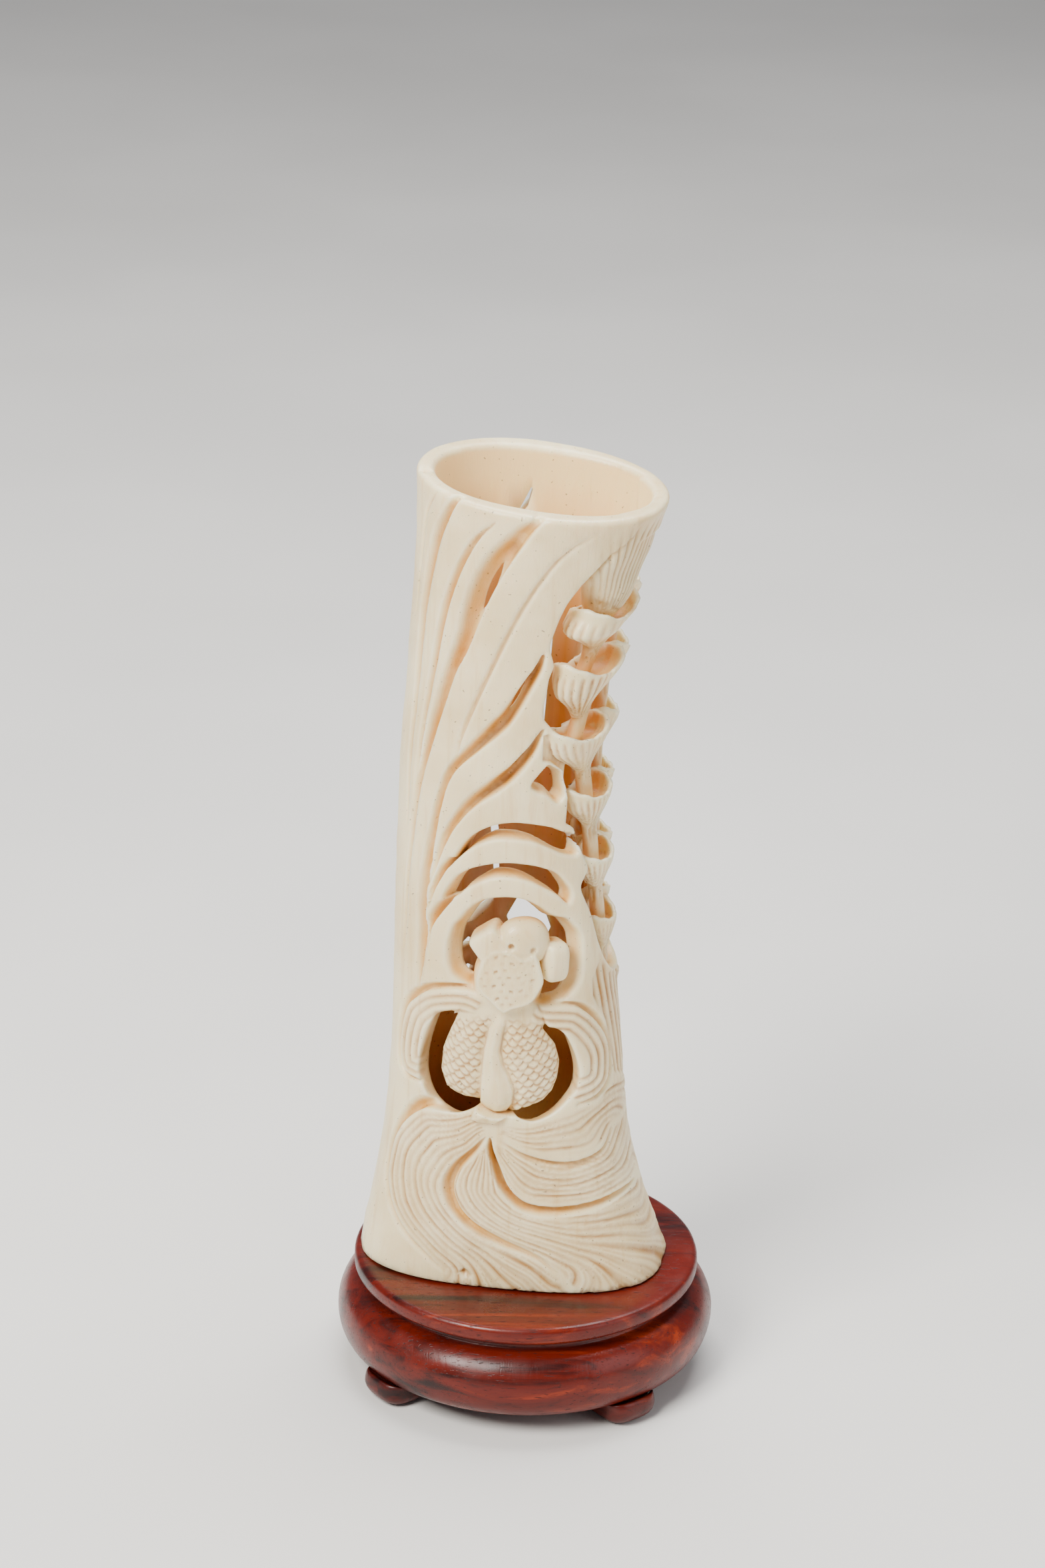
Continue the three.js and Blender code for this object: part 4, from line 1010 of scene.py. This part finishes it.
# The turned stand's outline, from the middle of its underside round to the middle of its top
STAND_ROUND = 192
STAND_OUTLINE = [(0, 4.2), (8, 4.2), (22, 4.2), (30.2, 4.2)]
STAND_OUTLINE += [(31 + 4 * math.cos(a), 10.2 + 6 * math.sin(a)) for a in np.radians(range(-85, 1, 8))]
STAND_OUTLINE += [(29.6 + 5.4 * math.cos(a), 10.2 + 6.4 * math.sin(a)) for a in np.radians(range(6, 88, 7))]
STAND_OUTLINE += [(29.75, 16.75), (29.5, 17.0), (29.45, 17.4), (29.5, 18.0), (29.75, 18.35), (30.4, 18.6),
                  (31.2, 18.7), (31.75, 18.95), (32.0, 19.4), (32.0, 20.2), (31.97, 21.0), (31.8, 21.5),
                  (31.4, 21.82), (30.8, 21.96), (29, 22), (22, 22), (12, 22), (0, 22)]


def turn_stand():
    """The stand, turned from its outline and very slightly out of round."""
    rows = np.array(STAND_OUTLINE, float)
    a = np.radians(np.arange(STAND_ROUND) * 360 / STAND_ROUND)
    points = [(0, 0, rows[0][1])]
    for r, z in rows[1:-1]:
        out = r + 0.05 * np.sin(3 * a + 0.7 * z) * (r > 28)
        points += list(zip(out * np.cos(a), out * np.sin(a), np.full(STAND_ROUND, z)))
    points.append((0, 0, rows[-1][1]))
    n = STAND_ROUND
    count = len(rows) - 2
    faces = []
    for i in range(n):
        j = (i + 1) % n
        faces.append((0, 1 + j, 1 + i))
        for k in range(count - 1):
            a0 = 1 + k * n
            faces.append((a0 + i, a0 + j, a0 + n + j, a0 + n + i))
        last = 1 + (count - 1) * n
        faces.append((last + i, last + j, len(points) - 1))
    mesh = bpy.data.meshes.new("turned_stand")
    mesh.from_pydata([tuple(c * MM for c in p) for p in points], [], faces)
    mesh.shade_smooth()
    return in_scene("turned_stand", mesh)


# A scroll foot's side outline, [distance from the stand's middle, height]
FOOT_WIDTH = 10.5
FOOT_BEARING = 38
FOOT_COUNT = 4
FOOT_OUTLINE = [(22.3, 3.9), (22.35, 1.9), (23.2, .5), (24.9, 0), (28.5, 0), (31.2, 0), (32.8, .3), (34.0, 1.1),
                (34.7, 2.3), (34.8, 3.3), (34.55, 4.4), (34.2, 4.95), (33.7, 4.9), (32.9, 4.3), (31.4, 3.9),
                (27, 3.9)]
FOOT_CORE = (29, 3.9)
FOOT_SLICES = 17


def scroll_foot():
    """One foot along +X, its toe rounded off towards the sides."""
    outline = ring_of(FOOT_OUTLINE)[::2]
    core = np.array(FOOT_CORE)
    n = len(outline)
    points = []
    for v in np.linspace(-1, 1, FOOT_SLICES):
        bend = math.sin(v * math.pi / 2)
        size = (1 - abs(bend) ** 3.4 * 0.985) ** (1 / 2.6)
        wide = FOOT_WIDTH / 2 * bend
        shape = core + (outline - core) * np.array([0.35 + 0.65 * size, 0.3 + 0.7 * size])
        shape[:, 1] = np.clip(shape[:, 1], 0, None)
        toe = 0.8 * (1 - size) * np.clip((shape[:, 0] - 28) / 6, 0, 1)
        points += [(r - t, wide, z) for (r, z), t in zip(shape, toe)]
    faces = []
    for k in range(FOOT_SLICES - 1):
        for i in range(n):
            j = (i + 1) % n
            faces.append((k * n + i, k * n + j, (k + 1) * n + j, (k + 1) * n + i))
    for k in (0, FOOT_SLICES - 1):
        hub = len(points)
        points.append(tuple(np.mean(points[k * n:(k + 1) * n], 0)))
        for i in range(n):
            j = (i + 1) % n
            faces.append((k * n + j, k * n + i, hub) if k == 0 else (k * n + i, k * n + j, hub))
    mesh = bpy.data.meshes.new("one_foot")
    mesh.from_pydata([tuple(float(c) * MM for c in p) for p in points], [], faces)
    shape = bmesh.new()
    shape.from_mesh(mesh)
    bmesh.ops.recalc_face_normals(shape, faces=shape.faces)
    shape.to_mesh(mesh)
    shape.free()
    mesh.shade_smooth()
    return in_scene("one_foot", mesh)


def tree_input(tree, name, kind, value=None):
    socket = tree.interface.new_socket(name, in_out="INPUT", socket_type=kind)
    if value is not None:
        socket.default_value = value
    return socket.identifier


def ring_of_feet(material):
    """Sets copies of one foot round the stand, toes outwards."""
    foot = scroll_foot()
    tree = bpy.data.node_groups.new("feet_round_stand", "GeometryNodeTree")
    tree.interface.new_socket("Feet", in_out="OUTPUT", socket_type="NodeSocketGeometry")
    sizes = {
        tree_input(tree, "One Foot", "NodeSocketObject"): foot,
        tree_input(tree, "Number of Feet", "NodeSocketInt", 4): FOOT_COUNT,
        tree_input(tree, "First Bearing", "NodeSocketFloat", 0.0): math.radians(FOOT_BEARING - 90),
        tree_input(tree, "Finish", "NodeSocketMaterial"): material,
    }
    new, link = tree.nodes.new, tree.links.new
    given, made = new("NodeGroupInput"), new("NodeGroupOutput")
    shape = new("GeometryNodeObjectInfo")
    link(given.outputs["One Foot"], shape.inputs["Object"])
    places = new("GeometryNodePoints")
    link(given.outputs["Number of Feet"], places.inputs["Count"])
    number = new("GeometryNodeInputIndex")
    share = new("ShaderNodeMath")
    share.operation = "DIVIDE"
    link(number.outputs[0], share.inputs[0])
    link(given.outputs["Number of Feet"], share.inputs[1])
    angle = new("ShaderNodeMath")
    angle.operation = "MULTIPLY_ADD"
    link(share.outputs[0], angle.inputs[0])
    angle.inputs[1].default_value = 2 * math.pi
    link(given.outputs["First Bearing"], angle.inputs[2])
    turn = new("ShaderNodeCombineXYZ")
    link(angle.outputs[0], turn.inputs["Z"])
    copies = new("GeometryNodeInstanceOnPoints")
    link(places.outputs[0], copies.inputs["Points"])
    link(shape.outputs["Geometry"], copies.inputs["Instance"])
    link(turn.outputs[0], copies.inputs["Rotation"])
    real = new("GeometryNodeRealizeInstances")
    link(copies.outputs[0], real.inputs[0])
    finish = new("GeometryNodeSetMaterial")
    link(real.outputs[0], finish.inputs["Geometry"])
    link(given.outputs["Finish"], finish.inputs["Material"])
    link(finish.outputs[0], made.inputs[0])

    piece = in_scene("scroll_feet", bpy.data.meshes.new("scroll_feet"))
    ring = piece.modifiers.new("ring", "NODES")
    ring.node_group = tree
    for socket, value in sizes.items():
        ring[socket] = value
    applied(piece)
    bpy.data.objects.remove(foot)
    return piece


# Finishes


class Finish:
    """A material or a shared group under construction."""

    def __init__(self, tree):
        self.tree = tree

    def node(self, kind, settings=None, **sockets):
        n = self.tree.nodes.new(kind)
        for key, value in (settings or {}).items():
            setattr(n, key, value)
        for key, value in sockets.items():
            self.feed(n.inputs[key.replace("_", " ")], value)
        return n

    def feed(self, socket, value):
        if isinstance(value, bpy.types.NodeSocket):
            self.tree.links.new(value, socket)
        else:
            socket.default_value = value

    def math(self, operation, *values, clamp=False):
        n = self.node("ShaderNodeMath", {"operation": operation, "use_clamp": clamp})
        for socket, value in zip(n.inputs, values):
            self.feed(socket, value)
        return n.outputs[0]

    def blend(self, share, a, b):
        n = self.node("ShaderNodeMix", {"data_type": "RGBA"})
        for key, value in ((0, share), (6, a), (7, b)):
            self.feed(n.inputs[key], value)
        return n.outputs[2]

    def ramp(self, value, low, high, to_low=0.0, to_high=1.0):
        n = self.node("ShaderNodeMapRange", {"interpolation_type": "SMOOTHSTEP"})
        names = ("Value", "From Min", "From Max", "To Min", "To Max")
        for key, v in zip(names, (value, low, high, to_low, to_high)):
            self.feed(n.inputs[key], v)
        return n.outputs[0]

    def noise(self, place, scale, detail=3.0, rough=0.5, twist=0.0):
        n = self.node("ShaderNodeTexNoise", Vector=place, Scale=scale, Detail=detail, Roughness=rough,
                      Distortion=twist)
        return n.outputs["Fac"]

    def stretched(self, place, x, y, z):
        n = self.node("ShaderNodeMapping", Vector=place)
        n.inputs["Scale"].default_value = (x, y, z)
        return n.outputs[0]

    def mark(self, name):
        n = self.node("ShaderNodeAttribute", {"attribute_name": name})
        return n.outputs["Fac"]


def shade(red, green, blue):
    """A colour picked as screen values, 0 to 255, made linear."""
    parts = (red / 255, green / 255, blue / 255)
    lin = [c / 12.92 if c <= 0.04045 else ((c + 0.055) / 1.055) ** 2.4 for c in parts]
    return (*lin, 1.0)


def new_group(name, inputs, outputs):
    tree = bpy.data.node_groups.new(name, "ShaderNodeTree")
    for label, kind, value in inputs:
        socket = tree.interface.new_socket(label, in_out="INPUT", socket_type=kind)
        if value is not None:
            socket.default_value = value
    for label, kind in outputs:
        tree.interface.new_socket(label, in_out="OUTPUT", socket_type=kind)
    made = Finish(tree)
    return made, tree.nodes.new("NodeGroupInput"), tree.nodes.new("NodeGroupOutput")


FLOAT, COLOR, VECTOR = "NodeSocketFloat", "NodeSocketColor", "NodeSocketVector"


def handling_group():
    """Soft smears of polish and fine scratches left by years of handling."""
    g, given, made = new_group(
        "handling_wear",
        [("Place", VECTOR, None), ("Smear Scale", FLOAT, 80.0), ("Scratch Scale", FLOAT, 900.0)],
        [("Smear", FLOAT), ("Scratches", FLOAT)])
    place = given.outputs["Place"]
    smear = g.noise(place, given.outputs["Smear Scale"], 4.0, 0.55, 0.3)
    g.feed(made.inputs["Smear"], g.ramp(smear, 0.3, 0.7))
    slanted = g.stretched(place, 1.0, 0.35, 0.12)
    fine = g.noise(slanted, given.outputs["Scratch Scale"], 3.0, 0.6, 0.0)
    g.feed(made.inputs["Scratches"], g.ramp(fine, 0.45, 0.75))
    return g.tree


def rosewood_group():
    """Grain that runs along X: growth bands, dark streaks and short open pores."""
    g, given, made = new_group(
        "rosewood_grain",
        [("Place", VECTOR, None), ("Band Scale", FLOAT, 1.0), ("Light", COLOR, None), ("Middle", COLOR, None),
         ("Dark", COLOR, None)],
        [("Color", COLOR), ("Pores", FLOAT), ("Bands", FLOAT)])
    place = g.node("ShaderNodeVectorMath", {"operation": "SCALE"}, Scale=given.outputs["Band Scale"])
    g.feed(place.inputs[0], given.outputs["Place"])
    place = place.outputs[0]
    drift = g.noise(g.stretched(place, 14, 60, 60), 1.0, 3.0, 0.5, 0.4)
    bands = g.noise(g.stretched(place, 22, 210, 330), 1.0, 5.0, 0.62, 0.9)
    streaks = g.noise(g.stretched(place, 60, 900, 1300), 1.0, 4.0, 0.6, 0.4)
    pores = g.noise(g.stretched(place, 420, 2600, 3400), 1.0, 2.0, 0.5, 0.0)
    tone = g.math("ADD", g.math("MULTIPLY", bands, 0.6), g.math("MULTIPLY", drift, 0.4))
    warm = g.blend(g.ramp(tone, 0.34, 0.52), given.outputs["Dark"], given.outputs["Middle"])
    warm = g.blend(g.ramp(tone, 0.53, 0.70), warm, given.outputs["Light"])
    warm = g.blend(g.ramp(streaks, 0.55, 0.8, 0.0, 0.55), warm, given.outputs["Dark"])
    pit = g.ramp(pores, 0.6, 0.72)
    warm = g.blend(g.math("MULTIPLY", pit, 0.7), warm, shade(24, 6, 6))
    g.feed(made.inputs["Color"], warm)
    g.feed(made.inputs["Pores"], pit)
    g.feed(made.inputs["Bands"], tone)
    return g.tree


def placed(made, tree, **sockets):
    n = made.node("ShaderNodeGroup", {"node_tree": tree})
    for key, value in sockets.items():
        made.feed(n.inputs[key.replace("_", " ")], value)
    return n


HANDLING = handling_group()
ROSEWOOD = rosewood_group()


def new_material(name):
    material = bpy.data.materials.new(name)
    material.use_nodes = True
    material.node_tree.nodes.clear()
    made = Finish(material.node_tree)
    out = made.node("ShaderNodeOutputMaterial")
    surface = made.node("ShaderNodeBsdfPrincipled")
    made.feed(out.inputs["Surface"], surface.outputs[0])
    place = made.node("ShaderNodeTexCoord").outputs["Object"]
    return material, made, surface, place


def carved_bone():
    material, m, surface, place = new_material("carved_bone")
    wear = placed(m, HANDLING, Place=place, Smear_Scale=90.0, Scratch_Scale=700.0)
    grown = m.noise(m.stretched(place, 420, 420, 30), 1.0, 4.0, 0.55, 0.6)
    cloud = m.noise(place, 55.0, 4.0, 0.55, 0.2)
    recess, soak, edge, deep = m.mark("recess"), m.mark("soak"), m.mark("edge"), m.mark("deep")
    inside, painted_inner_shade, lines = m.mark("inside"), m.mark("painted_inner_shade"), m.mark("lines")
    colour = m.blend(m.ramp(cloud, 0.32, 0.68), shade(228, 206, 156), shade(244, 228, 184))
    colour = m.blend(m.ramp(grown, 0.5, 0.74, 0.0, 0.5), colour, shade(216, 182, 122))
    patchy = m.ramp(m.noise(place, 150.0, 4.0, 0.6, 0.2), 0.3, 0.66, 0.5, 1.0)
    # Painted glow: the inner wall is painted a brighter cream, standing in for light that comes through the thin
    # bone
    colour = m.blend(m.math("MULTIPLY", inside, 0.9), colour, shade(250, 222, 160))
    # Painted shade: lower down, the inner wall is painted a deeper orange, standing in for the dimmer warm light
    # inside the tusk
    colour = m.blend(m.math("MULTIPLY", painted_inner_shade, 0.85), colour, shade(216, 146, 50))
    stained = m.blend(m.math("MULTIPLY", deep, patchy), shade(222, 164, 66), shade(148, 80, 10))
    colour = m.blend(m.math("MULTIPLY", m.math("MULTIPLY", soak, patchy), 0.95), colour, stained)
    dirt = m.math("MULTIPLY", m.ramp(recess, 0.2, 0.9), patchy)
    colour = m.blend(m.math("MULTIPLY", dirt, 0.6), colour, shade(172, 106, 28))
    drawn = m.math("MULTIPLY", m.math("MULTIPLY", lines, patchy), 1.1, clamp=True)
    colour = m.blend(drawn, colour, shade(170, 112, 26))
    bare = m.math("MULTIPLY", edge, m.math("SUBTRACT", 1.0, lines, clamp=True))
    colour = m.blend(m.math("MULTIPLY", bare, 0.55), colour, shade(252, 244, 220))
    speck = m.ramp(m.noise(place, 1500.0, 1.0, 0.5, 0.0), 0.73, 0.77, 0.0, 0.6)
    colour = m.blend(speck, colour, shade(92, 56, 30))
    m.feed(surface.inputs["Base Color"], colour)
    rough = m.ramp(wear.outputs["Smear"], 0.0, 1.0, 0.3, 0.46)
    rough = m.math("ADD", rough, m.math("MULTIPLY", recess, 0.3), clamp=True)
    m.feed(surface.inputs["Roughness"], rough)
    pores = m.noise(m.stretched(place, 2400, 2400, 500), 1.0, 2.0, 0.6, 0.0)
    height = m.math("ADD", m.math("MULTIPLY", m.ramp(pores, 0.35, 0.6), 0.6),
                    m.math("MULTIPLY", wear.outputs["Scratches"], -0.25))
    bump = m.node("ShaderNodeBump", Strength=0.28, Distance=0.00012, Height=height)
    m.feed(surface.inputs["Normal"], bump.outputs[0])
    surface.inputs["Subsurface Weight"].default_value = 0.45
    surface.inputs["Subsurface Radius"].default_value = (1.0, 0.68, 0.36)
    surface.inputs["Subsurface Scale"].default_value = 0.0028
    surface.inputs["IOR"].default_value = 1.53
    return material


def polished_rosewood(name, light, middle, dark, scale, gloss):
    material, m, surface, place = new_material(name)
    wear = placed(m, HANDLING, Place=place, Smear_Scale=110.0, Scratch_Scale=1100.0)
    grain = placed(m, ROSEWOOD, Place=place, Band_Scale=scale, Light=light, Middle=middle, Dark=dark)
    m.feed(surface.inputs["Base Color"], grain.outputs["Color"])
    rough = m.ramp(wear.outputs["Smear"], 0.0, 1.0, gloss, gloss + 0.16)
    rough = m.math("ADD", rough, m.math("MULTIPLY", grain.outputs["Pores"], 0.25), clamp=True)
    m.feed(surface.inputs["Roughness"], rough)
    height = m.math("SUBTRACT", m.math("MULTIPLY", grain.outputs["Bands"], 0.4), grain.outputs["Pores"])
    height = m.math("SUBTRACT", height, m.math("MULTIPLY", wear.outputs["Scratches"], 0.4))
    bump = m.node("ShaderNodeBump", Strength=0.22, Distance=0.00015, Height=height)
    m.feed(surface.inputs["Normal"], bump.outputs[0])
    surface.inputs["Coat Weight"].default_value = 0.06
    surface.inputs["Coat Roughness"].default_value = 0.26
    surface.inputs["Specular IOR Level"].default_value = 0.3
    return material


BONE = carved_bone()
STAND_WOOD = polished_rosewood("stand_rosewood", shade(142, 44, 6), shade(88, 17, 5), shade(30, 5, 4), 1.0, 0.27)
FOOT_WOOD = polished_rosewood("foot_rosewood", shade(120, 36, 8), shade(78, 15, 6), shade(30, 5, 4), 1.3, 0.27)

# The pieces
tusk = carve_tusk()
tusk.data.materials.append(BONE)
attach(tusk, "root")
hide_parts("carved_tusk")

stand = turn_stand()
stand.data.materials.append(STAND_WOOD)
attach(stand, "root")
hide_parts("stand")

feet = ring_of_feet(FOOT_WOOD)
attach(feet, "root")
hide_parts("foot_1", "foot_2", "foot_3", "foot_4")

# Floor, light and camera


FLOOR_REACH = 4.0


def pale_floor():
    mesh = bpy.data.meshes.new("floor")
    far = FLOOR_REACH
    mesh.from_pydata([(-far, -far, 0), (far, -far, 0), (far, far, 0), (-far, far, 0)], [], [(0, 1, 2, 3)])
    floor = in_scene("floor", mesh)
    material, m, surface, place = new_material("pale_floor")
    tone = m.noise(place, 6.0, 3.0, 0.5, 0.0)
    tone = m.blend(m.ramp(tone, 0.3, 0.7), shade(214, 212, 208), shade(222, 220, 216))
    m.feed(surface.inputs["Base Color"], tone)
    surface.inputs["Roughness"].default_value = 0.7
    mesh.materials.append(material)


def soft_light(name, place, aim, size, power, tint=(1, 1, 1)):
    lamp = bpy.data.lights.new(name, "AREA")
    lamp.shape = "RECTANGLE"
    lamp.size, lamp.size_y = size
    lamp.energy = power
    lamp.color = tint
    holder = in_scene(name, lamp)
    holder.location = place
    holder.rotation_euler = (Vector(aim) - Vector(place)).to_track_quat("-Z", "Y").to_euler()


pale_floor()
soft_light("key", (-0.42, -0.5, 0.72), (0, 0, 0.1), (0.4, 0.4), 16.0, (1.0, 0.97, 0.92))
soft_light("fill", (0.6, -0.35, 0.4), (0, 0, 0.09), (0.5, 0.6), 2.2, (0.97, 0.98, 1.0))
soft_light("top", (0.05, 0.25, 0.8), (0, 0, 0.12), (0.6, 0.4), 10.0)
world = bpy.data.worlds.new("studio")
world.use_nodes = True
world.node_tree.nodes["Background"].inputs[0].default_value = (0.9, 0.92, 1.0, 1)
world.node_tree.nodes["Background"].inputs[1].default_value = 0.26
bpy.context.scene.world = world

CAMERA_PITCH = math.radians(22.946)
CAMERA_ROLL = math.radians(1.2)
CAMERA_PLACE = (-2.426, -753.352, 434.412)
lens = bpy.data.cameras.new("camera")
lens.lens = 105
lens.sensor_fit = "VERTICAL"
lens.sensor_height = 36
camera = in_scene("camera", lens)
look = Vector((0, math.cos(CAMERA_PITCH), -math.sin(CAMERA_PITCH)))
level, up = Vector((1, 0, 0)), Vector((0, math.sin(CAMERA_PITCH), math.cos(CAMERA_PITCH)))
right = level * math.cos(CAMERA_ROLL) + up * math.sin(CAMERA_ROLL)
top = up * math.cos(CAMERA_ROLL) - level * math.sin(CAMERA_ROLL)
turned = Matrix((right, top, -look)).transposed().to_4x4()
camera.matrix_world = Matrix.Translation(Vector(CAMERA_PLACE) * MM) @ turned
bpy.context.scene.camera = camera
